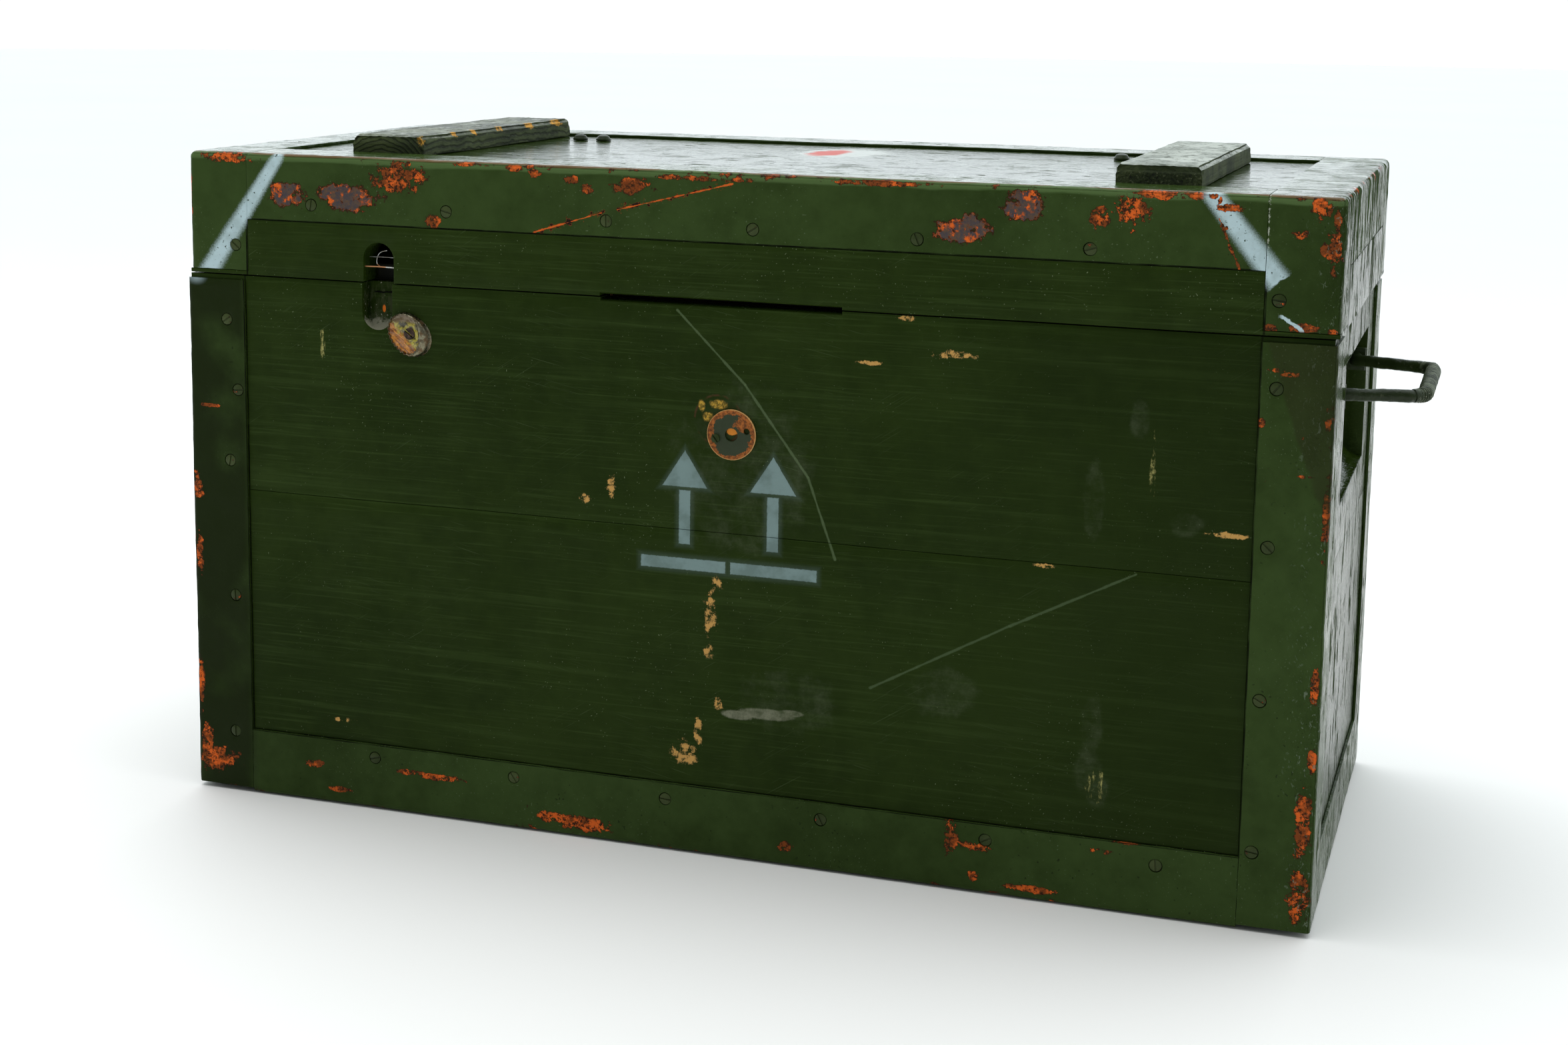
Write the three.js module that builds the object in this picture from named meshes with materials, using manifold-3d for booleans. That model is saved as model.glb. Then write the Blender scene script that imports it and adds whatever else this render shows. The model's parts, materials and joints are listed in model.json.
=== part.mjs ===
// A painted wooden equipment chest with steel corners, a hinged lid, two recessed drop handles,
// a key-operated hook lock and a swinging round key-hole plate.
// Millimetres, +Z up. The origin is the middle of the underside; the front faces -Y.
import * as THREE from "three";
import { RoundedBoxGeometry } from "three/addons/geometries/RoundedBoxGeometry.js";
import { mergeVertices } from "three/addons/utils/BufferGeometryUtils.js";
import Module from "manifold-3d";

const wasm = await Module();
wasm.setup();

// ---- driving dimensions ----------------------------------------------------------------
const LENGTH = 900;              // over the body's corner plates
const DEPTH = 405;               // over the body's corner plates
const HEIGHT = 524;              // to the lid's steel edges, without the battens
const SEAM_Z = 427;              // middle of the joint between lid and body
const SEAM_GAP = 1.0;
const GAP = 0.3;                 // between pieces that touch
const SHEET = 2;                 // steel corners and edges
const WALL = 24;                 // body boards, lid front and back
const LID_END_WALL = 22;
const BOTTOM_THICK = 18;
const TOP_THICK = 16;
const BOARD_JOINT_Z = 253;       // joint between upper and lower wall boards

const BODY_STRIP = 51.5;         // width of the body's corner plates
const BOTTOM_STRIP = 53;         // height of the bottom angles
const BOTTOM_FLANGE = 42;        // their width under the chest
const PLATE_FOOT_Z = 3;          // the corner plates stop short of the bottom
const PLATE_HEAD_Z = 423;        // and short of the seam
const BODY_BEND = 4;             // outside bend radius of the body's steel

const LID_SHIFT = 2;             // the lid sits this far to the right on its worn hinges
const LID_LENGTH = 898;
const LID_DEPTH = 403;
const LID_STRIP = 52;
const LID_CAP_FOOT_Z = 431;
const LID_BEND = 5;

const LIP_THICK = 10;            // dust lip inside the rim
const LIP_FOOT_Z = 380;
const LIP_HEAD_Z = 439;

const BATTEN_WIDTH = 62;
const BATTEN_THICK = 16;
const BATTEN_CHAMFER = 3;
const BATTEN_FRONT_Y = -149;
const BATTENS = [
  { side: "left", x: -298, backY: 141 },
  { side: "right", x: 315, backY: 121 },
];

const HINGE_AXIS = { y: 208, z: 429 };
const HINGE_WIDTH = 46;
const HINGE_SHEET = 2.7;
const BARREL_RADIUS = 4.5;
const BARREL_LENGTH = 14;        // each outer knuckle; the middle one is 2 mm longer
const HINGE_PIN_RADIUS = 2.2;
const HINGE_BORE_RADIUS = 2.6;
const UPPER_LEAF_FRONT_Y = 85;
const LOWER_LEAF_FOOT_Z = 352;
const HINGES = [{ side: "left", x: -228 }, { side: "right", x: 255 }];
const BOLT_Y = 100;
const BOLT_PITCH = 22;
const BOLT_HEAD = { radius: 7.8, height: 6 };
const BOLT_SHANK_RADIUS = 3;
const BOLT_HOLE_RADIUS = 3.6;

const POCKET = { halfWidth: 100, topZ: 395, bottomZ: 290, depth: 17.7, scoop: 17.7 };
const BAIL_PIVOT = { x: 440, z: 370 };
const BAIL = { rod: 5, rootHalf: 84, tipHalf: 97, gripHalf: 67, gripX: 502, rootBend: 6, gripBend: 18 };
const BRACKET = { sheet: 2.5, halfHeight: 12, earHalfHeight: 9, earOuterY: 93, bore: 5.7 };
const WRAP = { inner: 5.3, outer: 6.4, halfLength: 50 };

const LATCH_SLOT = { x: -281.3, halfWidth: 13, topZ: 458.4, bottomZ: 390, depth: 14 };
const PRY_GAP = { halfLength: 95, cut: 1.6, chamfer: 3 };

const DISC_PIVOT = { x: 1, z: 325.5 };
const DISC = { radius: 19.2, thick: 1.5, bore: 5, screwHole: 2.4, offset: 12.5, angle: 15.8 };
const LOCK = { x: 2, z: 338, spindle: 4.9, bore: 5.3, arm: 124, reach: 112.2, peg: 4, notch: 5.2 };
const HOOK_PLANE = { front: -162.5, back: -158.5 };
const SEAL = { x: -252.5, z: 387.5, radius: 16.8, scallop: 1.1, scallops: 21, thick: 5.2, wall: 2 };

// ---- derived places --------------------------------------------------------------------
const halfX = LENGTH / 2;
const halfY = DEPTH / 2;
const woodX = halfX - SHEET - GAP;               // outer faces of the body boards
const woodY = halfY - SHEET - GAP;
const innerX = woodX - WALL;
const innerY = woodY - WALL;
const woodFootZ = SHEET + GAP;
const bodyTopZ = SEAM_Z - SEAM_GAP / 2;
const lidFootZ = SEAM_Z + SEAM_GAP / 2;
const lidX = LID_LENGTH / 2;
const lidY = LID_DEPTH / 2;
const lidWoodX = lidX - SHEET - GAP;             // under the lid's steel
const lidWoodY = lidY - SHEET - GAP;
const lidStripFootZ = HEIGHT - LID_STRIP;
const panelTopZ = HEIGHT - SHEET - GAP;
const panelFootZ = panelTopZ - TOP_THICK;
const lidBoardHeadZ = panelFootZ - GAP;
const pocketFloorX = woodX - POCKET.depth;
const FAR = 2000;                                // reach of a cutting block past the part

// ---- materials -------------------------------------------------------------------------
const finish = (color, roughness, metalness) => ({ color, roughness, metalness });
const PAINTED_WOOD = finish(0x2c3a1f, 0.42, 0);
const PAINTED_STEEL = finish(0x2f3d22, 0.4, 0.1);
const BARE_WOOD = finish(0x8c7350, 0.7, 0);
const WORN_WOOD = finish(0x474a33, 0.75, 0);
const DARK_STEEL = finish(0x33352d, 0.5, 0.7);
const RUSTY_STEEL = finish(0x5a4226, 0.7, 0.5);
const TIN = finish(0xa9812f, 0.35, 0.8);

// ---- helpers ---------------------------------------------------------------------------
function solid(geometry) {
  const bare = geometry.clone();
  bare.deleteAttribute("normal");
  bare.deleteAttribute("uv");
  const merged = mergeVertices(bare, 1e-4);
  const corners = merged.index.array;
  const faces = [];
  for (let i = 0; i < corners.length; i += 3) {
    const [a, b, c] = [corners[i], corners[i + 1], corners[i + 2]];
    if (a !== b && b !== c && c !== a) faces.push(a, b, c);
  }
  return new wasm.Manifold(new wasm.Mesh({
    numProp: 3,
    vertProperties: Float32Array.from(merged.attributes.position.array),
    triVerts: Uint32Array.from(faces),
  }));
}

function surface(body) {
  const mesh = body.getMesh();
  const geometry = new THREE.BufferGeometry();
  geometry.setAttribute("position", new THREE.BufferAttribute(Float32Array.from(mesh.vertProperties), 3));
  geometry.setIndex(new THREE.BufferAttribute(Uint32Array.from(mesh.triVerts), 1));
  geometry.computeVertexNormals();
  return geometry;
}

function node(name, body, look) {
  const mesh = new THREE.Mesh(surface(body), new THREE.MeshStandardMaterial(look));
  mesh.name = name;
  return mesh;
}

const cut = (body, ...tools) => tools.reduce((rest, tool) => rest.subtract(tool), body);
const join = (body, ...others) => others.reduce((whole, other) => whole.add(other), body);

function block(x0, x1, y0, y1, z0, z1) {
  const box = new THREE.BoxGeometry(x1 - x0, y1 - y0, z1 - z0);
  box.translate((x0 + x1) / 2, (y0 + y1) / 2, (z0 + z1) / 2);
  return solid(box);
}

// A block on both sides of x = centre, or of y = 0.
const slab = (halfLength, halfDepth, z0, z1, centre = 0) =>
  block(centre - halfLength, centre + halfLength, -halfDepth, halfDepth, z0, z1);

// An outline of [y, z] points run along X, or of [x, z] points run along Y.
const PRISM_AXES = {
  x: [new THREE.Vector3(0, 1, 0), new THREE.Vector3(0, 0, 1), new THREE.Vector3(1, 0, 0)],
  y: [new THREE.Vector3(1, 0, 0), new THREE.Vector3(0, 0, 1), new THREE.Vector3(0, -1, 0)],
};

function prism(axis, shape, from, to, curveSegments = 8) {
  const outline = shape instanceof THREE.Shape
    ? shape
    : new THREE.Shape(shape.map(([u, v]) => new THREE.Vector2(u, v)));
  const extruded = new THREE.ExtrudeGeometry(outline, {
    depth: to - from, bevelEnabled: false, curveSegments,
  });
  extruded.applyMatrix4(new THREE.Matrix4().makeBasis(...PRISM_AXES[axis]));
  extruded.translate(axis === "x" ? from : 0, axis === "y" ? to : 0, 0);
  return solid(extruded);
}

// A round bar along X, Y or Z; a and b are its other two coordinates in X, Y, Z order.
function bar(axis, radius, from, to, a, b, sides = 24) {
  const cylinder = new THREE.CylinderGeometry(radius, radius, to - from, sides);
  const middle = (from + to) / 2;
  if (axis === "x") cylinder.rotateZ(-Math.PI / 2).translate(middle, a, b);
  if (axis === "y") cylinder.translate(a, middle, b);
  if (axis === "z") cylinder.rotateX(Math.PI / 2).translate(a, b, middle);
  return solid(cylinder);
}

// An open box of sheet steel with bent edges, from which corners and edge angles are cut.
function steelShell(length, depth, footZ, headZ, bend, openAtTop) {
  const reach = 60;                              // the open side runs past what is kept
  const z0 = openAtTop ? footZ : footZ - reach;
  const z1 = openAtTop ? headZ + reach : headZ;
  const outer = new RoundedBoxGeometry(length, depth, z1 - z0, 3, bend);
  outer.translate(0, 0, (z0 + z1) / 2);
  const hollowFoot = openAtTop ? z0 + SHEET : z0 - 1;
  const hollowHead = openAtTop ? z1 + 1 : z1 - SHEET;
  return cut(solid(outer), slab(length / 2 - SHEET, depth / 2 - SHEET, hollowFoot, hollowHead));
}

const CORNERS = [
  { name: "front_left", x: -1, y: -1 },
  { name: "front_right", x: 1, y: -1 },
  { name: "back_left", x: -1, y: 1 },
  { name: "back_right", x: 1, y: 1 },
];

// The quarter of space past (x, y) towards one corner, between two heights.
function cornerRegion(corner, x, y, z0, z1) {
  const xs = [corner.x * x, corner.x * FAR].sort((a, b) => a - b);
  const ys = [corner.y * y, corner.y * FAR].sort((a, b) => a - b);
  return block(...xs, ...ys, z0, z1);
}

// ---- body ------------------------------------------------------------------------------
function wallBoards() {
  const upperZ = [BOARD_JOINT_Z + GAP / 2, bodyTopZ];
  const lowerZ = [woodFootZ, BOARD_JOINT_Z - GAP / 2];
  const endY = innerY - GAP;
  const front = (z) => block(-woodX, woodX, -woodY, -innerY, ...z);
  const back = (z) => block(-woodX, woodX, innerY, woodY, ...z);
  const left = (z) => block(-woodX, -innerX, -endY, endY, ...z);
  const right = (z) => block(innerX, woodX, -endY, endY, ...z);
  const frontUpper = cut(front(upperZ), latchPocket(), pryLip(-1), lockBores());
  return [
    node("front_upper_board", frontUpper, PAINTED_WOOD),
    node("front_lower_board", front(lowerZ), PAINTED_WOOD),
    node("back_upper_board", back(upperZ), PAINTED_WOOD),
    node("back_lower_board", back(lowerZ), PAINTED_WOOD),
    node("left_upper_board", cut(left(upperZ), handlePocket(-1)), PAINTED_WOOD),
    node("left_lower_board", left(lowerZ), PAINTED_WOOD),
    node("right_upper_board", cut(right(upperZ), handlePocket(1)), PAINTED_WOOD),
    node("right_lower_board", right(lowerZ), PAINTED_WOOD),
  ];
}

// The handle's pocket: a flat floor that scoops out to the face at its lower end.
function handlePocket(side) {
  const { topZ, bottomZ, scoop, halfWidth } = POCKET;
  const mouthX = woodX + 10;
  const outline = new THREE.Shape();
  outline.moveTo(mouthX, topZ);
  outline.lineTo(pocketFloorX, topZ);
  outline.lineTo(pocketFloorX, bottomZ + scoop);
  outline.absarc(pocketFloorX + scoop, bottomZ + scoop, scoop, Math.PI, 1.5 * Math.PI, false);
  outline.lineTo(mouthX, bottomZ);
  const pocket = prism("y", outline, -halfWidth, halfWidth);
  return side > 0 ? pocket : pocket.rotate([0, 0, 180]);
}

// The body's half of the latch recess: round-ended, with a scooped lower end.
function latchPocket() {
  const { x, halfWidth, bottomZ, depth } = LATCH_SLOT;
  const faceY = -woodY;
  const roundEnd = new THREE.Shape();
  roundEnd.moveTo(x + halfWidth, SEAM_Z + 5);
  roundEnd.lineTo(x - halfWidth, SEAM_Z + 5);
  roundEnd.lineTo(x - halfWidth, bottomZ + halfWidth);
  roundEnd.absarc(x, bottomZ + halfWidth, halfWidth, Math.PI, 2 * Math.PI, false);
  const scoop = new THREE.Shape();
  scoop.moveTo(faceY - 5, SEAM_Z + 5);
  scoop.lineTo(faceY - 5, bottomZ);
  scoop.lineTo(faceY, bottomZ);
  scoop.absarc(faceY, bottomZ + depth, depth, -Math.PI / 2, 0, false);
  scoop.lineTo(faceY + depth, SEAM_Z + 5);
  return prism("y", roundEnd, faceY - 4, faceY + depth + 1)
    .intersect(prism("x", scoop, x - halfWidth - 1, x + halfWidth + 1));
}

// The planed gap in the seam for fingers or a lever: below the seam (-1) or above it (+1).
function pryLip(side) {
  const { halfLength, cut: relief, chamfer } = PRY_GAP;
  const edgeZ = side < 0 ? bodyTopZ : lidFootZ;
  const faceY = side < 0 ? -woodY : -lidY;
  const outline = [
    [faceY - 1, edgeZ - side],
    [faceY - 1, edgeZ + side * (relief + 1.2)],
    [faceY, edgeZ + side * (relief + 1.2)],
    [faceY + chamfer, edgeZ + side * relief],
    [faceY + WALL + 1, edgeZ + side * relief],
    [faceY + WALL + 1, edgeZ - side],
  ];
  const ordered = side < 0 ? outline : outline.reverse();
  return prism("x", ordered, LID_SHIFT - halfLength, LID_SHIFT + halfLength);
}

function lockBores() {
  const spindleBore = bar("y", LOCK.bore, -FAR, 0, LOCK.x, LOCK.z);
  const screwBore = bar("y", DISC.screwHole, -FAR, -innerY - 6, DISC_PIVOT.x, DISC_PIVOT.z, 12);
  return join(spindleBore, screwBore);
}

function bottomPanel() {
  const body = slab(innerX - GAP, innerY - GAP, woodFootZ, woodFootZ + BOTTOM_THICK);
  return [node("bottom_panel", body, BARE_WOOD)];
}

// Thin strips inside the rim that keep dust out; the back one is notched for the hinges.
function dustLips() {
  const outX = innerX - GAP;
  const outY = innerY - GAP;
  const inX = outX - LIP_THICK;
  const inY = outY - LIP_THICK;
  const endY = inY - GAP;
  const z = [LIP_FOOT_Z, LIP_HEAD_Z];
  const notches = HINGES.map(({ x }) => {
    const half = HINGE_WIDTH / 2 + 1.5;
    return block(x - half, x + half, 0, FAR, bodyTopZ - 1.5, FAR);
  });
  return [
    node("front_lip", block(-outX, outX, -outY, -inY, ...z), BARE_WOOD),
    node("back_lip", cut(block(-outX, outX, inY, outY, ...z), ...notches), BARE_WOOD),
    node("left_lip", block(-outX, -inX, -endY, endY, ...z), BARE_WOOD),
    node("right_lip", block(inX, outX, -endY, endY, ...z), BARE_WOOD),
  ];
}

function bodySteel() {
  const shell = steelShell(LENGTH, DEPTH, 0, SEAM_Z, BODY_BEND, true);
  const plateX = halfX - BODY_STRIP;
  const plateY = halfY - BODY_STRIP;
  const angleX = plateX - GAP;
  const angleY = plateY - GAP;
  const underX = halfX - BOTTOM_FLANGE;
  const underY = halfY - BOTTOM_FLANGE;
  const angles = {
    front: block(-angleX, angleX, -FAR, -underY, -1, BOTTOM_STRIP),
    back: block(-angleX, angleX, underY, FAR, -1, BOTTOM_STRIP),
    left: block(-FAR, -underX, -angleY, angleY, -1, BOTTOM_STRIP),
    right: block(underX, FAR, -angleY, angleY, -1, BOTTOM_STRIP),
  };
  const plates = CORNERS.map((corner) => {
    const region = cornerRegion(corner, plateX, plateY, PLATE_FOOT_Z, PLATE_HEAD_Z);
    return node(`corner_plate_${corner.name}`, shell.intersect(region), PAINTED_STEEL);
  });
  const edges = Object.entries(angles).map(([side, region]) =>
    node(`bottom_angle_${side}`, shell.intersect(region), PAINTED_STEEL));
  return [...plates, ...edges];
}

// ---- handles ---------------------------------------------------------------------------
// A path of straight runs with a round bend of the given radius at each inner corner.
function bentPath(corners, bends) {
  const path = new THREE.CurvePath();
  let from = corners[0];
  for (let i = 1; i < corners.length - 1; i += 1) {
    const here = corners[i];
    const before = from.clone().sub(here).normalize();
    const after = corners[i + 1].clone().sub(here).normalize();
    const setback = bends[i - 1] / Math.tan(before.angleTo(after) / 2);
    const start = here.clone().addScaledVector(before, setback);
    const end = here.clone().addScaledVector(after, setback);
    path.add(new THREE.LineCurve3(from, start));
    path.add(new THREE.QuadraticBezierCurve3(start, here, end));
    from = end;
  }
  path.add(new THREE.LineCurve3(from, corners[corners.length - 1]));
  return path;
}

function bail() {
  const { x, z } = BAIL_PIVOT;
  const at = (px, py) => new THREE.Vector3(px, py, z);
  const half = [at(x, BAIL.tipHalf), at(x, BAIL.rootHalf), at(BAIL.gripX, BAIL.gripHalf)];
  const corners = [
    ...half.map((point) => at(point.x, -point.y)),
    ...half.reverse(),
  ];
  const bends = [BAIL.rootBend, BAIL.gripBend, BAIL.gripBend, BAIL.rootBend];
  const section = new THREE.Shape().absarc(0, 0, BAIL.rod, 0, 2 * Math.PI, false);
  return solid(new THREE.ExtrudeGeometry(section, {
    steps: 80, curveSegments: 5, bevelEnabled: false, extrudePath: bentPath(corners, bends),
  }));
}

// A strap across the pocket's floor with an eared end at each side for the bail's pivots.
function bracket() {
  const { x, z } = BAIL_PIVOT;
  const floorX = pocketFloorX + GAP;
  const { sheet, halfHeight, earHalfHeight, earOuterY, bore } = BRACKET;
  const strap = block(floorX, floorX + sheet, -earOuterY, earOuterY, z - halfHeight, z + halfHeight);
  const ear = (y) => block(floorX, woodX - GAP, y, y + sheet, z - earHalfHeight, z + earHalfHeight);
  const bores = bar("y", bore, -FAR, FAR, x, z);
  return cut(join(strap, ear(-earOuterY), ear(earOuterY - sheet)), bores);
}

function wrap() {
  const { inner, outer, halfLength } = WRAP;
  const profile = [
    [inner, -halfLength], [outer, -halfLength], [outer, halfLength], [inner, halfLength],
    [inner, -halfLength],
  ].map(([r, y]) => new THREE.Vector2(r, y));
  const sleeve = new THREE.LatheGeometry(profile, 24);
  return solid(sleeve.translate(BAIL.gripX, 0, BAIL_PIVOT.z));
}

function handles() {
  const turned = (body, side) => (side === "left" ? body.rotate([0, 0, 180]) : body);
  return ["left", "right"].flatMap((side) => [
    node(`handle_bracket_${side}`, turned(bracket(), side), DARK_STEEL),
    node(`handle_bail_${side}`, turned(bail(), side), PAINTED_STEEL),
    node(`handle_wrap_${side}`, turned(wrap(), side), DARK_STEEL),
  ]);
}

// ---- lid -------------------------------------------------------------------------------
// What the lid's steel needs cut out of the boards under it, so that it lies flush.
function lidRebate() {
  const skin = (x, y, z0) => cut(
    slab(FAR, FAR, z0, FAR),
    slab(x, y, z0 - 1, FAR, LID_SHIFT),
  );
  const edges = skin(lidWoodX, lidWoodY, lidStripFootZ - GAP);
  const capX = lidX - LID_STRIP - GAP;
  const capY = lidY - LID_STRIP - GAP;
  const lowerSkin = skin(lidWoodX, lidWoodY, LID_CAP_FOOT_Z - GAP);
  const capRegions = CORNERS.map((corner) =>
    cornerRegion(corner, capX, capY, LID_CAP_FOOT_Z - GAP, FAR).translate([LID_SHIFT, 0, 0]));
  return join(edges, ...capRegions.map((region) => lowerSkin.intersect(region)));
}

function latchSlotInLid() {
  const { halfWidth, topZ } = LATCH_SLOT;
  const x = LATCH_SLOT.x + LID_SHIFT;
  const outline = new THREE.Shape();
  outline.moveTo(x - halfWidth, lidFootZ - 5);
  outline.lineTo(x + halfWidth, lidFootZ - 5);
  outline.absarc(x, topZ - halfWidth, halfWidth, 0, Math.PI, false);
  return prism("y", outline, -FAR, 0, 12);
}

function lidBoards() {
  const rebate = lidRebate();
  const inY = lidY - WALL;
  const endY = inY - GAP;
  const z = [lidFootZ, lidBoardHeadZ];
  const [x0, x1] = [LID_SHIFT - lidX, LID_SHIFT + lidX];
  const cranks = HINGES.map(({ x }) => {
    const half = BARREL_LENGTH / 2 + 2.5;
    return block(x - half, x + half, 0, FAR, 0, HINGE_AXIS.z + HINGE_SHEET / 2 + 0.5);
  });
  const front = cut(block(x0, x1, -lidY, -inY, ...z), rebate, latchSlotInLid(), pryLip(1));
  const back = cut(block(x0, x1, inY, lidY, ...z), rebate, ...cranks);
  return [
    node("lid_front_board", front, PAINTED_WOOD),
    node("lid_back_board", back, PAINTED_WOOD),
    node("lid_left_board", cut(block(x0, x0 + LID_END_WALL, -endY, endY, ...z), rebate), PAINTED_WOOD),
    node("lid_right_board", cut(block(x1 - LID_END_WALL, x1, -endY, endY, ...z), rebate), PAINTED_WOOD),
  ];
}

function boltPlaces() {
  return HINGES.flatMap(({ side, x }) => [
    { name: `hinge_bolt_${side}_1`, x: x - BOLT_PITCH / 2 },
    { name: `hinge_bolt_${side}_2`, x: x + BOLT_PITCH / 2 },
  ]);
}

const boltHoles = () => boltPlaces().map(({ x }) => bar("z", BOLT_HOLE_RADIUS, 0, FAR, x, BOLT_Y, 16));

function lidTopPanel() {
  const panel = slab(lidWoodX, lidWoodY, panelFootZ, panelTopZ, LID_SHIFT);
  return [node("lid_top_panel", cut(panel, ...boltHoles()), PAINTED_WOOD)];
}

function lidSteel() {
  const shell = steelShell(LID_LENGTH, LID_DEPTH, LID_CAP_FOOT_Z, HEIGHT, LID_BEND, false);
  const capX = lidX - LID_STRIP;
  const capY = lidY - LID_STRIP;
  const angleX = capX - GAP;
  const angleY = capY - GAP;
  const z = [lidStripFootZ, FAR];
  const angles = {
    front: block(-angleX, angleX, -FAR, -capY, ...z),
    back: block(-angleX, angleX, capY, FAR, ...z),
    left: block(-FAR, -capX, -angleY, angleY, ...z),
    right: block(capX, FAR, -angleY, angleY, ...z),
  };
  const place = (name, region) =>
    node(name, shell.intersect(region).translate([LID_SHIFT, 0, 0]), PAINTED_STEEL);
  const caps = CORNERS.map((corner) =>
    place(`lid_corner_cap_${corner.name}`, cornerRegion(corner, capX, capY, LID_CAP_FOOT_Z, FAR)));
  const edges = Object.entries(angles).map(([side, region]) => place(`lid_edge_angle_${side}`, region));
  return [...caps, ...edges];
}

function battens() {
  const foot = panelTopZ + GAP;
  const head = foot + BATTEN_THICK;
  const half = BATTEN_WIDTH / 2;
  const c = BATTEN_CHAMFER;
  return BATTENS.map(({ side, x, backY }) => {
    const section = [
      [x - half, foot], [x + half, foot], [x + half, head - c], [x + half - c, head],
      [x - half + c, head], [x - half, head - c],
    ];
    return node(`batten_${side}`, prism("y", section, BATTEN_FRONT_Y, backY), WORN_WOOD);
  });
}

// ---- hinges ----------------------------------------------------------------------------
const hingeBore = (x) => bar("x", HINGE_BORE_RADIUS, x - FAR, x + FAR, HINGE_AXIS.y, HINGE_AXIS.z, 20);
const barrel = (x0, x1) => bar("x", BARREL_RADIUS, x0, x1, HINGE_AXIS.y, HINGE_AXIS.z, 20);

function lowerLeaf(x) {
  const [x0, x1] = [x - HINGE_WIDTH / 2, x + HINGE_WIDTH / 2];
  const faceY = woodY + GAP;
  const backY = faceY + HINGE_SHEET;
  const plate = block(x0, x1, faceY, backY, LOWER_LEAF_FOOT_Z, HINGE_AXIS.z - BARREL_RADIUS - 1.5);
  const knuckle = (from, to) => join(
    barrel(from, to),
    block(from, to, faceY + 1.5, HINGE_AXIS.y, HINGE_AXIS.z - BARREL_RADIUS - 2, HINGE_AXIS.z),
  );
  const knuckles = [knuckle(x0, x0 + BARREL_LENGTH), knuckle(x1 - BARREL_LENGTH, x1)];
  return cut(join(plate, ...knuckles), hingeBore(x));
}

// The lid's leaf: under the top panel, down the back board, and out below it to the knuckle.
function upperLeaf(x) {
  const [x0, x1] = [x - HINGE_WIDTH / 2, x + HINGE_WIDTH / 2];
  const outerY = lidY - WALL - GAP;
  const innerFaceY = outerY - HINGE_SHEET;
  const head = lidBoardHeadZ;
  const half = BARREL_LENGTH / 2 + 1;
  const crankZ = [HINGE_AXIS.z - HINGE_SHEET / 2, HINGE_AXIS.z + HINGE_SHEET / 2];
  const top = block(x0, x1, UPPER_LEAF_FRONT_Y, outerY, head - HINGE_SHEET, head);
  const back = block(x0, x1, innerFaceY, outerY, crankZ[0], head);
  const crank = block(x - half, x + half, innerFaceY, HINGE_AXIS.y, ...crankZ);
  const heel = stopHeel(x, half);
  const body = join(top, back, crank, barrel(x - half, x + half), heel);
  return cut(body, hingeBore(x), ...boltHoles());
}

// A lug on the knuckle that meets the lower leaf when the lid is 105 degrees open.
function stopHeel(x, half) {
  const reach = 6.1;
  const lean = -30 * Math.PI / 180;
  const along = [Math.cos(lean), Math.sin(lean)];
  const across = [-along[1], along[0]];
  const point = (r, s) => [
    HINGE_AXIS.y + r * along[0] + s * across[0],
    HINGE_AXIS.z + r * along[1] + s * across[1],
  ];
  const outline = [point(2, -1.5), point(reach, -1), point(reach, 1), point(2, 1.5)];
  return prism("x", outline, x - half, x + half);
}

function bolt(x) {
  const { radius, height } = BOLT_HEAD;
  const seatZ = panelTopZ + GAP;
  const nutZ = lidBoardHeadZ - HINGE_SHEET - GAP;
  const profile = [[0, nutZ - 4], [5.5, nutZ - 4], [5.5, nutZ], [BOLT_SHANK_RADIUS, nutZ]];
  profile.push([BOLT_SHANK_RADIUS, seatZ], [radius, seatZ], [radius, seatZ + 1.5]);
  const domeSteps = 4;
  for (let i = 1; i <= domeSteps; i += 1) {
    const angle = (i / domeSteps) * Math.PI / 2;
    const r = i === domeSteps ? 0 : radius * Math.cos(angle);
    profile.push([r, seatZ + 1.5 + (height - 1.5) * Math.sin(angle)]);
  }
  const lathe = new THREE.LatheGeometry(profile.map(([r, z]) => new THREE.Vector2(r, z)), 16);
  return solid(lathe.rotateX(Math.PI / 2).translate(x, BOLT_Y, 0));
}

function hinges() {
  const pin = (x) => bar("x", HINGE_PIN_RADIUS, x - HINGE_WIDTH / 2, x + HINGE_WIDTH / 2,
    HINGE_AXIS.y, HINGE_AXIS.z, 20);
  const leaves = HINGES.flatMap(({ side, x }) => [
    node(`hinge_lower_leaf_${side}`, lowerLeaf(x), DARK_STEEL),
    node(`hinge_upper_leaf_${side}`, upperLeaf(x), DARK_STEEL),
    node(`hinge_pin_${side}`, pin(x), DARK_STEEL),
  ]);
  return [...leaves, ...boltPlaces().map(({ name, x }) => node(name, bolt(x), PAINTED_STEEL))];
}

// ---- key-hole plate, lock and seal cup -------------------------------------------------
function escutcheon() {
  const backY = -woodY - GAP;
  const lean = DISC.angle * Math.PI / 180;
  const along = (distance) => [
    DISC_PIVOT.x + distance * Math.cos(lean),
    DISC_PIVOT.z + distance * Math.sin(lean),
  ];
  const plate = bar("y", DISC.radius, backY - DISC.thick, backY, ...along(DISC.offset), 40);
  const holes = [[0, DISC.screwHole], [DISC.offset, DISC.bore], [2 * DISC.offset, DISC.screwHole]];
  const bores = holes.map(([distance, radius]) => bar("y", radius, -FAR, 0, ...along(distance), 20));
  return node("escutcheon_disc", cut(plate, ...bores), RUSTY_STEEL);
}

function discScrew() {
  const headBackY = -woodY - 2 * GAP - DISC.thick;
  const head = bar("y", 3.3, headBackY - 1.3, headBackY, DISC_PIVOT.x, DISC_PIVOT.z, 20);
  const shank = bar("y", 1.9, headBackY - 0.5, -woodY + 14, DISC_PIVOT.x, DISC_PIVOT.z, 12);
  return node("disc_screw", join(head, shank), DARK_STEEL);
}

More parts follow.
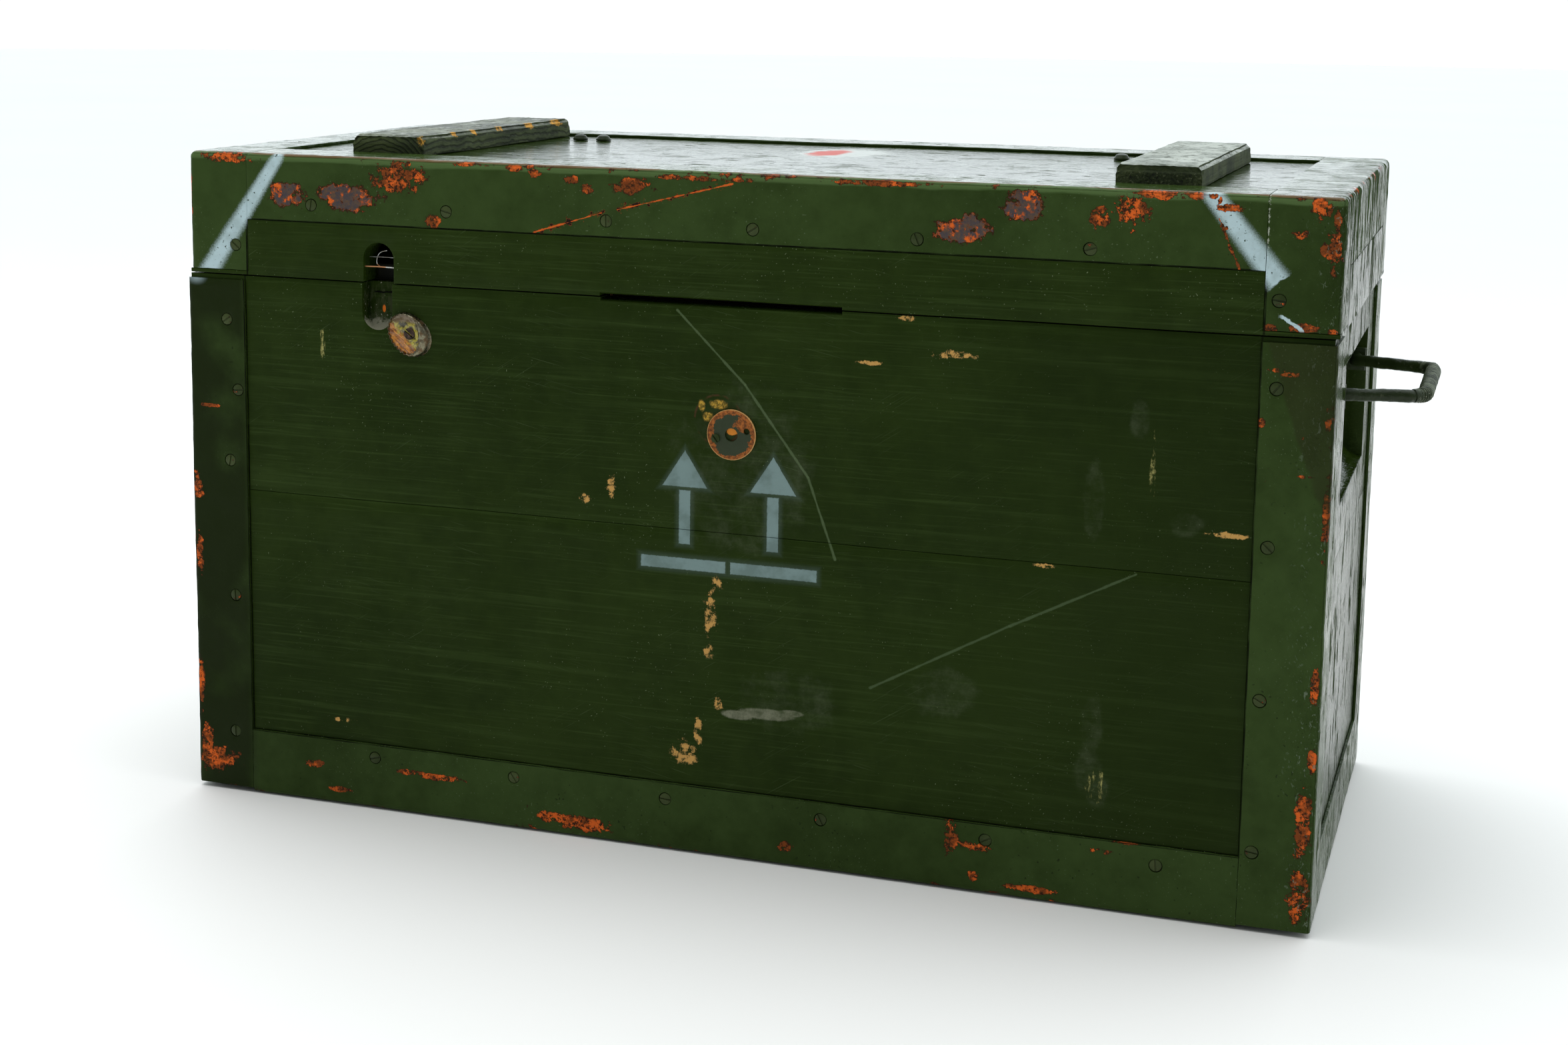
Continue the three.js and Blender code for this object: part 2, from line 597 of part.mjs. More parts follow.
// The hook hangs from its spindle; half a turn brings its notch up round the lid's peg.
function lockHook() {
  const { x, z, spindle, arm, reach, notch } = LOCK;
  const { front, back } = HOOK_PLANE;
  const half = 10;
  const outerY = -woodY + 1.5;
  const bladeOutline = new THREE.Shape();
  bladeOutline.moveTo(x - half, z - arm);
  bladeOutline.lineTo(x + half, z - arm);
  bladeOutline.lineTo(x + half, z);
  bladeOutline.absarc(x, z, half, 0, Math.PI, false);
  const blade = prism("y", bladeOutline, front, back, 10);
  const notchZ = [z - reach - notch, z - reach + notch];
  const pegNotch = block(x - notch, x + half + 1, front - 1, back + 1, ...notchZ);
  const socket = block(x - 2.5, x + 2.5, outerY - 1, outerY + 9, z - 2.5, z + 2.5);
  const stem = bar("y", spindle, outerY, back, x, z, 20);
  return node("lock_hook", cut(join(blade, stem), pegNotch, socket), DARK_STEEL);
}

function lockPlate() {
  const backY = -innerY + GAP;
  const plate = block(LOCK.x - 28, LOCK.x + 28, backY, backY + 3, LOCK.z - 28, LOCK.z + 28);
  return node("lock_plate", cut(plate, bar("y", LOCK.bore, -FAR, 0, LOCK.x, LOCK.z)), DARK_STEEL);
}

function lockKeeper() {
  const faceY = -lidY + WALL + GAP;
  const pegZ = LOCK.z + LOCK.reach;
  const plate = block(LOCK.x - 20, LOCK.x + 20, faceY, faceY + 3, pegZ - 7, pegZ + 26);
  const peg = bar("y", LOCK.peg, faceY + 1, HOOK_PLANE.back + 4, LOCK.x, pegZ, 16);
  return node("lock_keeper", join(plate, peg), DARK_STEEL);
}

function sealCup() {
  const { x, z, radius, scallop, scallops, thick, wall } = SEAL;
  const backY = -woodY - GAP;
  const count = scallops * 4;
  const outline = Array.from({ length: count }, (_, i) => {
    const angle = (i / count) * 2 * Math.PI;
    const r = radius + scallop * Math.cos(scallops * angle);
    return [x + r * Math.cos(angle), z + r * Math.sin(angle)];
  });
  const cup = prism("y", outline, backY - thick, backY);
  const bowl = bar("y", radius - wall, -FAR, backY - 1.2, x, z, 32);
  const screw = bar("y", 4.5, backY - 3.2, backY - 0.5, x, z, 20);
  return node("seal_cup", join(cut(cup, bowl), screw), TIN);
}

// ---- the whole chest -------------------------------------------------------------------
const chest = new THREE.Group();
chest.add(
  ...wallBoards(), ...bottomPanel(), ...dustLips(), ...bodySteel(), ...handles(),
  ...lidBoards(), ...lidTopPanel(), ...lidSteel(), ...battens(), ...hinges(),
  escutcheon(), discScrew(), lockHook(), lockPlate(), lockKeeper(), sealCup(),
);

export default chest;
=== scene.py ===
"""A worn green equipment chest: its looks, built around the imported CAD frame.

Tables and materials are in millimetres, Blender's meshes in metres. +X is right, -Y the front
and +Z up, from the middle of the bottom. Nothing here moves or resizes a CAD part.
"""

import json
import math
import random
from functools import reduce

import bmesh
import bpy
import numpy as np
from mathutils import Matrix, Vector, noise

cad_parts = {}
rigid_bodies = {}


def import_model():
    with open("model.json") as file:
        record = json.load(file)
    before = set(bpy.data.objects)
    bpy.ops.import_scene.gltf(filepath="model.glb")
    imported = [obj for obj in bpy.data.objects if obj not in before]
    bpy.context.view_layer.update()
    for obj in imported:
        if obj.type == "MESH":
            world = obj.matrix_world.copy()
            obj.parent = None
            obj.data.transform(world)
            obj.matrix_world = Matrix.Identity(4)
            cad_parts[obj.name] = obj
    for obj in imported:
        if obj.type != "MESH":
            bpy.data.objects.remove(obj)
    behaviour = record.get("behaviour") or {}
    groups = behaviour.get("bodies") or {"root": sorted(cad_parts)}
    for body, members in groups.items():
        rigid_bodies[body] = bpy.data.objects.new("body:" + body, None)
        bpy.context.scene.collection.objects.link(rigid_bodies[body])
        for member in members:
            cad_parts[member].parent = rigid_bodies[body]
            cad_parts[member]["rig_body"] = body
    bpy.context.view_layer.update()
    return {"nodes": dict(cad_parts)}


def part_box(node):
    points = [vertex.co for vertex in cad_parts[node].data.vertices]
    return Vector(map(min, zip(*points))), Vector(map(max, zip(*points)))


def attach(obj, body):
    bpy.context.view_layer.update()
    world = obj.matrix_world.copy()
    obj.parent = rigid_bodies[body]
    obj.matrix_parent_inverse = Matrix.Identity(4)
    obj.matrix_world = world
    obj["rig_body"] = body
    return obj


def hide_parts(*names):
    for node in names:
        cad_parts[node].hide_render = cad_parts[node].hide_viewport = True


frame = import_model()

MM = 0.001
NODES = frame["nodes"]
SEED = 11
DRAWS = random.Random(SEED)
noise.seed_set(SEED)        # without it, noise_vector would follow the clock


def extent(node):
    """A CAD node's lowest and highest corner, in millimetres."""
    low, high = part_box(node)
    return low / MM, high / MM


def placed(name, data):
    """A new object in the scene that holds data."""
    made = bpy.data.objects.new(name, data)
    bpy.context.scene.collection.objects.link(made)
    return made


# ---- driving sizes, read from the frame --------------------------------------------------
body_low, body_high = extent("corner_plate_front_left")
BODY_X, BODY_Y = -body_low.x, -body_low.y            # outer faces of the body's steel
BODY_STRIP = body_high.x - body_low.x
BOTTOM_STRIP = extent("bottom_angle_front")[1].z

lid_left = extent("lid_corner_cap_front_left")[0]
lid_right = extent("lid_corner_cap_front_right")[1]
LID_SHIFT = (lid_left.x + lid_right.x) / 2
LID_X = (lid_right.x - lid_left.x) / 2               # outer faces of the lid's steel
LID_Y = -lid_left.y
LID_TOP = lid_right.z
BODY_TOP = extent("front_upper_board")[1].z
WOOD_Y = -extent("front_upper_board")[0].y
LID_STRIP_FOOT = extent("lid_edge_angle_front")[0].z


# ---- camera ------------------------------------------------------------------------------
CAMERA_AT = (0.5787, -1.7957, 0.6614)
CAMERA_TILT, CAMERA_ROLL, CAMERA_HEADING = 81.377, -0.769, 18.672
LENS, SENSOR = 53.136, 36
SHIFT_X, SHIFT_Y = 0.008, -0.12


def add_camera():
    data = bpy.data.cameras.new("camera")
    data.lens, data.sensor_width = LENS, SENSOR
    data.shift_x, data.shift_y = SHIFT_X, SHIFT_Y
    camera = placed("camera", data)
    camera.location = CAMERA_AT
    camera.rotation_euler = [math.radians(a) for a in (CAMERA_TILT, CAMERA_ROLL, CAMERA_HEADING)]
    bpy.context.scene.camera = camera


# ---- materials ---------------------------------------------------------------------------
def screen(red, green, blue):
    """A colour given as on a screen, 0 to 255, as linear light."""
    def linear(value):
        value /= 255
        return value / 12.92 if value <= 0.04045 else ((value + 0.055) / 1.055) ** 2.4
    return (linear(red), linear(green), linear(blue), 1.0)


class Graph:
    """The node tree of a material or world, cleared and built up again by small calls."""

    def __init__(self, owner):
        owner.use_nodes = True
        self.tree = owner.node_tree
        self.tree.nodes.clear()

    def node(self, kind, **settings):
        made = self.tree.nodes.new(kind)
        for name, value in settings.items():
            setattr(made, name, value)
        return made

    def parts(self, vector):
        split = self.node("ShaderNodeSeparateXYZ")
        self.wire(split.inputs[0], vector)
        return split.outputs

    def wire(self, socket, value):
        if isinstance(value, bpy.types.NodeSocket):
            self.tree.links.new(value, socket)
        else:
            socket.default_value = value

    def ramp(self, value, low, high, start=0.0, end=1.0):
        """start below low, end above high, smooth between them."""
        made = self.node("ShaderNodeMapRange", interpolation_type="SMOOTHSTEP")
        for socket, given in zip(made.inputs, (value, low, high, start, end)):
            self.wire(socket, given)
        return made.outputs["Result"]

    def share(self, value):
        """A share of 0 to 1; a tuple stands for the ramp of its members."""
        return self.ramp(*value) if isinstance(value, tuple) else value

    def mix(self, share, first, second):
        """The number first to second by share."""
        made = self.node("ShaderNodeMix", data_type="FLOAT")
        for k, value in ((0, self.share(share)), (2, first), (3, second)):
            self.wire(made.inputs[k], value)
        return made.outputs[0]

    def blend(self, share, *pair):
        """The first to the second of a pair by share; each is a screen's colour, 0 to 255, or a socket."""
        made = self.node("ShaderNodeMix", data_type="RGBA")
        self.wire(made.inputs[0], self.share(share))
        for k, value in zip((6, 7), pair):
            self.wire(made.inputs[k], screen(*value) if isinstance(value, tuple) else value)
        return made.outputs[2]


class Finish(Graph):
    """One procedural material, built up in layers. Its coordinates are the chest's millimetres."""

    def __init__(self, name, colour, roughness, specular=0.5):
        self.material = bpy.data.materials.new(name)
        super().__init__(self.material)
        self.colour, self.roughness, self.metal, self.height = colour, roughness, 0.0, 0.0
        self.specular = specular
        self.draws = 0
        place = self.node("ShaderNodeTexCoord")
        self.at = self.vector("SCALE", place.outputs["Object"], scale=1 / MM)
        self.x, self.y, self.z = self.parts(self.at)
        self.normal = place.outputs["Normal"]

    def math(self, operation, *values, clamp=False):
        made = self.node("ShaderNodeMath", operation=operation, use_clamp=clamp)
        for socket, value in zip(made.inputs, values):
            self.wire(socket, value)
        return made.outputs[0]

    def vector(self, operation, *values, scale=None):
        made = self.node("ShaderNodeVectorMath", operation=operation)
        for socket, value in zip(made.inputs, values):
            self.wire(socket, value)
        if scale is not None:
            self.wire(made.inputs["Scale"], scale)
        single = operation in ("LENGTH", "DOT_PRODUCT")
        return made.outputs["Value" if single else "Vector"]

    def chain(self, operation, values):
        return reduce(lambda result, value: self.math(operation, result, value), values)

    def total(self, *values):
        return self.chain("ADD", values)

    def product(self, *values):
        """The product of numbers and shares."""
        return self.chain("MULTIPLY", [self.share(value) for value in values])

    def least(self, *values):
        return self.chain("MINIMUM", values)

    def most(self, *values):
        return self.chain("MAXIMUM", values)

    def minus(self, first, second):
        return self.math("SUBTRACT", first, second)

    def abs(self, value):
        return self.math("ABSOLUTE", value)

    def fma(self, value, factor, added):
        """value times factor, plus added."""
        return self.math("MULTIPLY_ADD", value, factor, added)

    def noise(self, size, detail=2.0, rough=0.5, stretch=(1, 1, 1), at=None, warp=0.0):
        """Smooth noise, 0 to 1 about 0.5, whose features are size mm, longer along a stretch."""
        self.draws += 1
        scale = [1 / (size * s) for s in stretch]
        offset = [7.31 * self.draws, 3.17 * self.draws, 5.73 * self.draws]
        at_scale = self.vector("MULTIPLY_ADD", at or self.at, scale, offset)
        made = self.node("ShaderNodeTexNoise")
        settings = {"Vector": at_scale, "Scale": 1.0, "Detail": detail, "Roughness": rough, "Distortion": warp}
        for name, value in settings.items():
            self.wire(made.inputs[name], value)
        return made.outputs["Fac"]

    def turned(self, degrees):
        """The place turned about the Y axis, which looks through the front."""
        made = self.node("ShaderNodeVectorRotate", rotation_type="AXIS_ANGLE")
        self.wire(made.inputs["Vector"], self.at)
        made.inputs["Axis"].default_value = (0, 1, 0)
        made.inputs["Angle"].default_value = math.radians(degrees)
        return made.outputs[0]

    def on_front(self, face):
        """1 on the front skin, whose steel lies face mm before the middle, and 0 behind it."""
        return self.ramp(self.y, -face + 9, -face + 5)

    def blob(self, centre, half):
        """0 at an ellipsoid's centre and 1 on its surface."""
        scale = [1 / h for h in half]
        offset = [-c / h for c, h in zip(centre, half)]
        return self.vector("LENGTH", self.vector("MULTIPLY_ADD", self.at, scale, offset))

    def stroke(self, start, end):
        """Distance in mm, seen from the front, to a straight line from start to end (x, z)."""
        a, b = Vector((start[0], 0, start[1])), Vector((end[0], 0, end[1]))
        along = self.vector("SUBTRACT", self.vector("MULTIPLY", self.at, (1, 0, 1)), tuple(a))
        span = b - a
        share = self.vector("DOT_PRODUCT", along, tuple(span / span.length_squared))
        share = self.math("ADD", share, 0.0, clamp=True)
        nearest = self.vector("SCALE", tuple(span), scale=share)
        return self.vector("LENGTH", self.vector("SUBTRACT", along, nearest)), share

    def lay(self, colour, *masks, rough=None, metal=None, height=None):
        """Covers what is there with new values, where given, as far as the masks' product says."""
        mask = self.product(*masks)
        if colour is not None:
            self.colour = self.blend(mask, self.colour, colour)
        if rough is not None:
            self.roughness = self.mix(mask, self.roughness, rough)
        if metal is not None:
            self.metal = self.mix(mask, self.metal, metal)
        if height is not None:
            self.height = self.fma(mask, height, self.height)

    def relief(self, *factors):
        """Raises the surface by the factors' product, in mm."""
        self.height = self.total(self.product(*factors), self.height)

    def done(self, **sockets):
        shader = self.node("ShaderNodeBsdfPrincipled")
        for name, value in (("Base Color", self.colour), ("Roughness", self.roughness), ("Metallic", self.metal)):
            self.wire(shader.inputs[name], value)
        shader.inputs["Specular IOR Level"].default_value = self.specular
        for name, value in sockets.items():
            shader.inputs[name].default_value = value
        bump = self.node("ShaderNodeBump")
        bump.inputs["Distance"].default_value = MM
        self.wire(bump.inputs["Height"], self.height)
        self.wire(shader.inputs["Normal"], bump.outputs[0])
        output = self.node("ShaderNodeOutputMaterial")
        self.wire(output.inputs[0], shader.outputs[0])
        return self.material


GREEN_DARK = (27, 41, 6)
GREEN = (38, 53, 14)
GREEN_LIGHT = (58, 76, 34)
RUST_DARK = (52, 33, 20)
RUST = (124, 64, 30)
RUST_BRIGHT = (218, 100, 40)
BARE_STEEL = (76, 70, 73)
RAW_WOOD = (196, 150, 84)
PALE_BLUE = (186, 208, 212)
DUST = (150, 148, 128)
PINE_LIGHT, PINE_DARK = (178, 142, 94), (132, 96, 58)
PAINT_SPECULAR = 0.05


# The middle's x and the half sizes in x and y of each part's steel.
SHELL = {"body": (0, BODY_X, BODY_Y), "lid": (LID_SHIFT, LID_X, LID_Y)}


def edge_distance(f, part):
    """Distance in mm from a point on the outer skin to the nearest edge of the body's or lid's box."""
    shift, half_x, half_y = SHELL[part]
    across = f.minus(half_x, f.abs(f.minus(f.x, shift)))
    deep = f.minus(half_y, f.abs(f.y))
    up = f.z if part == "body" else f.minus(LID_TOP, f.z)
    lower, upper = f.least(across, deep), f.most(across, deep)
    return f.most(lower, f.least(upper, up))


def paint_coat(f, dark, light, matt, gloss):
    """Uneven brushed green paint."""
    broad = f.noise(230, 4)
    fine = f.noise(17, 4, 0.6)
    tone = f.ramp(f.total(broad, f.product(fine, 0.5)), 0.5, 1.0)
    f.colour = f.blend(tone, dark, light)
    f.roughness = f.mix((f.noise(55, 4), 0.35, 0.65), gloss, matt)


def varnished(f, lump):
    """Glossier, lumpier paint on the top and the two ends, dragged by the brush and dulled in streaks."""
    across, _, up = f.parts(f.normal)
    ends = f.ramp(f.abs(across), 0.5, 0.8)
    crown = f.ramp(up, 0.5, 0.8)
    away = f.most(ends, crown)
    cloud = f.noise(30, 6, 0.68)
    f.roughness = f.mix(away, f.roughness, f.ramp(cloud, 0.5, 0.66, 0.1, 0.3))
    drag = f.noise(5, 5, 0.66, stretch=(1, 1, 16), warp=0.4)
    f.relief(drag, ends, 0.5)
    runs = f.noise(11, 5, 0.66, stretch=(1, 1, 4), warp=0.3)
    streaky = f.mix((f.noise(70, 3, stretch=(1, 1, 1.6)), 0.44, 0.58), 0.0, 0.05)
    head = f.ramp(f.z, LID_TOP - 90, LID_TOP - 10, 0.0, 0.08)
    dull = f.product((f.total(runs, streaky, head), 0.585, 0.605), ends)
    f.lay(None, dull, rough=1.0, height=-0.3)
    f.lay(GREEN_DARK, dull, 0.4)
    smears = f.noise(9, 5, 0.66, stretch=(3, 1, 1), warp=0.4)
    f.lay(None, (smears, 0.62, 0.65), crown, rough=0.65, height=-0.35)
    f.relief(f.noise(16, 5, 0.6), away, lump)
    pits = f.ramp(f.noise(5, 3, 0.6), 0.67, 0.72)
    f.lay(None, pits, away, rough=0.6, height=-0.3)


def brushed_lumps(f, amount):
    """Brush drag, sags and grit in thick paint."""
    f.relief(f.noise(24, 3), 0.9 * amount)
    f.relief(f.noise(5, 3, 0.6), 0.22 * amount)
    grit = f.ramp(f.noise(2.6, 1), 0.66, 0.8)
    f.relief(grit, 0.12 * amount)


def grain(f, axis, fibre_mm, ring_mm):
    """Raised wood grain under the paint, running along an axis (0 to 2)."""
    long = [1, 1, 1]
    long[axis] = 45
    fibre = f.noise(1.7, 3, 0.55, stretch=long)
    long[axis] = 30
    rings = f.noise(6, 3, 0.5, stretch=long, warp=0.3)
    f.relief(fibre, fibre_mm)
    f.relief(rings, ring_mm)
    return fibre, rings


def scratches(f, angles, size, cut, colour, strength):
    """Fine straight scratches at each angle in the front face."""
    for angle in angles:
        lines = f.noise(size, 1, stretch=(70, 70, 1), at=f.turned(angle))
        where = f.ramp(f.noise(75, 2), 0.5, 0.62)
        mask = f.product((lines, cut, cut + 0.03), where, strength)
        f.lay(colour, mask, height=-0.05)


def specks(f, size, cut, colour, strength=1.0):
    mask = f.ramp(f.noise(size, 0), cut, cut + 0.03)
    f.lay(colour, mask, (f.noise(70), 0.4, 0.6), strength)


def patches(f, places, rag=3.0, size=7.0):
    """How far inside any of the ellipsoids (centre, half sizes) a point is, with torn borders."""
    nearest = f.least(*(f.blob(centre, half) for centre, half in places))
    torn = f.fma(f.noise(size, 7, 0.72), rag, -rag / 2)
    inside = f.least(f.minus(1.0, nearest), 0.25)
    return f.minus(inside, torn)


def front_patches(face, *places):
    """Ellipsoids on the front's face from (x, z, half x, half z)."""
    return [((x, -face, z), (hx, 9, hz)) for x, z, hx, hz in places]


def rust(f, wear, bare=0.0):
    """Chipped paint: a dark stain, then orange rust, and bare steel in the deepest part."""
    mottle = f.noise(3.2, 6, 0.78)
    zone = f.noise(11, 3, 0.6)
    tone = f.fma(zone, 0.8, f.product(mottle, 0.4))
    f.lay(RUST_DARK, (wear, -0.1, 0.0), rough=0.55)
    f.lay(None, (wear, -0.02, 0.04), height=-0.16)
    core = f.blend((tone, 0.56, 0.7), RUST, RUST_BRIGHT)
    f.lay(core, (wear, 0.02, 0.1), (mottle, 0.42, 0.5), rough=0.85)
    if bare:
        inner = f.product((wear, 0.08, 0.16), (tone, 0.7, 0.6))
        skin = f.blend((mottle, 0.42, 0.6), BARE_STEEL, (98, 78, 62))
        f.lay(skin, inner, rough=0.42, metal=bare)


LATCH_X = -281

# Worn places on the front, x and z then half sizes.
LID_BARE = ((-358, 493, 15, 9), (-305, 493, 26, 10), (185, 491, 19, 9), (230, 509, 14, 11))
LID_RUST = (
    (-260, 510, 20, 10), (-232, 477, 6, 5), (284, 504, 7, 8), (307, 510, 10, 10), (434, 516, 7, 6),
    (403, 433, 4, 3), (427, 434, 9, 3), (-447, 492, 2.6, 24), (120, 521, 34, 2),
    (-204, 522, 12, 1.6), (-163, 521, 6, 2.2), (-146, 518, 5, 3), (-116, 514, 5, 2.8), (-103, 508, 5, 3.2),
    (-69, 511, 14, 5), (-38, 519, 12, 1.8), (-10, 519, 14, 2), (20, 519, 10, 1.8),
    (330, 521, 22, 3), (-410, 520, 20, 4), (445, 506, 2.5, 7), (444, 488, 4, 15),
    (-303, 469, 10, 2), (422, 498, 6, 3), (438, 489, 3, 4), (445, 431, 3, 4),
)
BODY_RUST = (
    (442, 81, 5, 22), (441, 30, 7, 16), (-430, 25, 16, 9), (-441, 36, 5, 16), (-341, 31, 7, 3),
    (-229, 33, 20, 2.5), (-255, 34, 16, 2), (-104, 11, 22, 5), (-130, 13, 12, 4), (189, 38, 5, 12),
    (209, 35, 12, 3), (318, 54, 12, 1.8), (207, 13, 5, 4), (-431, 320, 9, 1.5), (-445, 251, 4, 12),
    (-444, 199, 3, 16), (445, 182, 3, 12), (447, 300, 2.5, 22), (446, 375, 3, 10), (300, 44, 9, 2),
    (60, 14, 6, 4), (250, 8, 20, 2.5), (-320, 12, 10, 2), (446, 130, 3, 9), (-446, 90, 3, 18),
    (410, 404, 6, 1.4), (419, 401.5, 7, 1.8), (400.5, 367, 2.5, 2.5), (431, 331, 5, 1.3), (429, 358, 1.2, 1.2),
)
STRIPE_RUST = ((373, 514, 8, 2.6), (361, 521, 3, 1.6), (366, 519, 1.5, 2.4), (371, 500, 1.2, 1.2))
LID_SCRATCHES = (((-147, 473), (-92, 490)), ((-79, 493), (12, 516)))
WOOD_CHIPS = (
    (-317, 70, 9, 2), (-23, 78, 10, 9), (-3, 190, 5, 14), (-4, 160, 4, 6), (2, 213, 4, 5), (146, 424, 6, 2),
    (183, 400, 12, 3), (118, 390, 9, 1.5), (380, 285, 12, 2), (-106, 270, 4, 4), (-12, 96, 3, 12),
    (-84, 281, 3, 8), (252, 251, 8, 1.6), (5, 120, 3, 5),
)


def chest_wood(name, axis, part):
    """Painted boards, bare inside."""
    f = Finish(name, GREEN, 0.4, specular=PAINT_SPECULAR)
    paint_coat(f, GREEN_DARK, GREEN, 0.5, 0.36)
    fibre, rings = grain(f, axis, 0.10, 0.12)
    ridge = f.product((fibre, 0.52, 0.72), 0.35)
    f.lay(GREEN_LIGHT, ridge)
    f.lay(GREEN_LIGHT, (rings, 0.52, 0.75), 0.25)
    varnished(f, 0.8)
    seams(f, part)
    hollow_inside(f, rings)
    return f


def hollow_inside(f, rings):
    """Bare wood on the faces that look into the chest."""
    sides = f.ramp(f.abs(f.x), BODY_X - 23, BODY_X - 24)
    walls = f.ramp(f.abs(f.y), BODY_Y - 21, BODY_Y - 22)
    under = f.ramp(f.z, LID_TOP - 16, LID_TOP - 17)
    off_slot = f.ramp(f.blob((LATCH_X, -BODY_Y + 20, BODY_TOP), (20, 14, 60)), 0.98, 1.0)
    inside = f.product(sides, walls, under, off_slot)
    tone = f.blend((rings, 0.4, 0.62), PINE_LIGHT, PINE_DARK)
    f.lay(tone, inside, rough=0.7)
    f.lay((88, 72, 50), inside, (f.noise(90, 6, 0.65), 0.48, 0.7))


def front_wood(part):
    f = chest_wood(f"{part}_front_wood", 0, part)
    f.relief(f.noise(60, 2), 0.5)
    scratches(f, (4, -12, 33), 0.5, 0.71, (84, 100, 66), 0.3)
    # Pale specks over the front boards: painted glints.
    specks(f, 1.1, 0.82, (112, 124, 92), 0.8)
    if part == "body":
        f.lay((20, 32, 3), (f.x, 120, 360, 0, 0.45))
        arc = ((-31, 420), (23, 367), (73, 301), (95, 241))
        line = ((124, 146), (228, 204), (318, 251))
        for route, colour in ((arc, (82, 98, 66)), (line, (74, 90, 60))):
            for start, end in zip(route, route[1:]):
                reach, _ = f.stroke(start, end)
                wide = f.fma(f.noise(9, 2), -1.6, reach)
                f.lay(colour, (wide, 0.5, -0.4, 0, 0.75), height=-0.08)
        smear = patches(f, front_patches(WOOD_Y, (44, 116, 26, 5), (20, 113, 14, 4), (62, 119, 12, 3)), 0.9, 12)
        f.lay((150, 150, 128), (smear, 0.0, 0.5, 0, 0.75), rough=0.75)
        dusty = front_patches(
            WOOD_Y, (290, 136, 9, 26), (295, 90, 10, 16), (289, 101, 12, 20), (60, 128, 40, 26),
            (20, 300, 62, 70), (286, 301, 9, 32), (317, 363, 8, 16), (352, 290, 14, 10), (180, 148, 30, 20),
        )
        haze = patches(f, dusty, 1.5, 16)
        f.lay((120, 128, 104), (haze, 0.0, 1.0, 0, 0.28), rough=0.6)
        streaky = f.noise(3, 4, 0.7, stretch=(1, 1, 5))
        rub = patches(f, front_patches(WOOD_Y, (295, 92, 9, 14), (327, 330, 3, 26), (-330, 376, 3, 14)), 1.3, 4)
        f.lay((158, 152, 92), (rub, 0.1, 0.4), (streaky, 0.5, 0.62))
        chips = patches(f, front_patches(WOOD_Y, *WOOD_CHIPS), 4.0, 6)
        f.lay((104, 92, 52), (chips, 0.0, 0.12), height=-0.12)
        f.lay(RAW_WOOD, (chips, 0.14, 0.3), rough=0.8, height=-0.1)
        ring(f)
        stencil(f)
        latch_marks(f)
    return f


def latch_marks(f):
    """Dust in the latch pocket's scoop, pale specks in the pocket painted as glints, a crack across its floor, and
    two bare spots.
    """
    sunk = f.ramp(f.y, -WOOD_Y + 0.2, -WOOD_Y + 0.8)
    near = f.ramp(f.blob((LATCH_X, -WOOD_Y + 8, 405), (16, 12, 40)), 1.0, 0.98)
    pocket = f.product(sunk, near)
    grime = f.noise(5, 5, 0.7, stretch=(1, 1, 3))
    f.lay((62, 68, 44), (grime, 0.45, 0.65), pocket, 0.7, rough=0.7)
    # Sparse pale specks over the pocket: painted glints, in the dust's colour.
    f.lay(DUST, (f.noise(2.4, 3), 0.66, 0.7), pocket, rough=0.8)
    dust = f.fma(f.noise(4, 6, 0.7), 22, f.minus(387, f.z))
    f.lay(DUST, (dust, -1.5, 4), pocket, 0.8, rough=0.9)
    crack = f.fma(f.noise(8, 3), 5.0, -2.5)
    crack = f.abs(f.minus(f.total(f.z, crack), 418))
    within = f.ramp(f.blob((LATCH_X + 2, -188, 418), (14, 6, 6)), 1.0, 0.8)
    f.lay((8, 10, 5), (crack, 0.9, 0.3), within, height=-0.6)
    spot = f.blob((LATCH_X - 1.5, -188, 405), (1.5, 5, 3.2))
    f.lay((224, 116, 40), (spot, 1.1, 0.8), rough=0.7)
    seen = f.blob((13.4, -WOOD_Y, 331.5), (4.8, 4, 3.4))
    f.lay((222, 138, 54), (f.fma(f.noise(3, 3), 0.5, seen), 1.3, 1.1))


def top_mark(f):
    """A worn pale patch on the lid, with a plain red bar across it."""
    wear = f.fma(f.noise(9, 6, 0.7, stretch=(4, 1, 1)), 1.6, -0.8)
    pale = f.total(f.blob((17, 60, LID_TOP), (41, 64, 8)), wear)
    f.lay((196, 200, 196), (pale, 1.0, 0.75, 0, 0.8), rough=0.45)
    red = f.total(f.blob((5, 60, LID_TOP), (19, 46, 8)), wear)
    f.lay((186, 62, 48), (red, 0.95, 0.7, 0, 0.85), rough=0.5)


def ring(f):
    """The old print of the round plate, with paint lifted round it."""
    print_at = (2, -WOOD_Y, 339)
    reach = f.product(f.blob(print_at, (19, 19, 19)), 19)
    band = f.ramp(f.abs(f.minus(reach, 18.6)), 1.3, 0.2)
    f.lay((70, 52, 30), band, (f.noise(8), 0.4, 0.55), height=-0.2)
    inside = f.ramp(reach, 19, 17)
    f.lay(GREEN_DARK, inside, 0.45)
    bare = patches(f, front_patches(WOOD_Y, (2.5, 351, 8, 4), (-6, 341, 5, 4), (-11, 349, 3, 5)), 1.2, 4)
    f.lay((96, 82, 34), (bare, 0.0, 0.15), height=-0.12)
    f.lay((190, 150, 60), (bare, 0.2, 0.35), rough=0.7)


ARROW_CENTRES = (-24, 46)
ARROW = {"foot": 242, "shoulder": 286, "tip": 314, "shaft": 4.5, "head": 18}
BAR = {"low": 222, "high": 231, "left": -59, "right": 81, "bridge": 2}


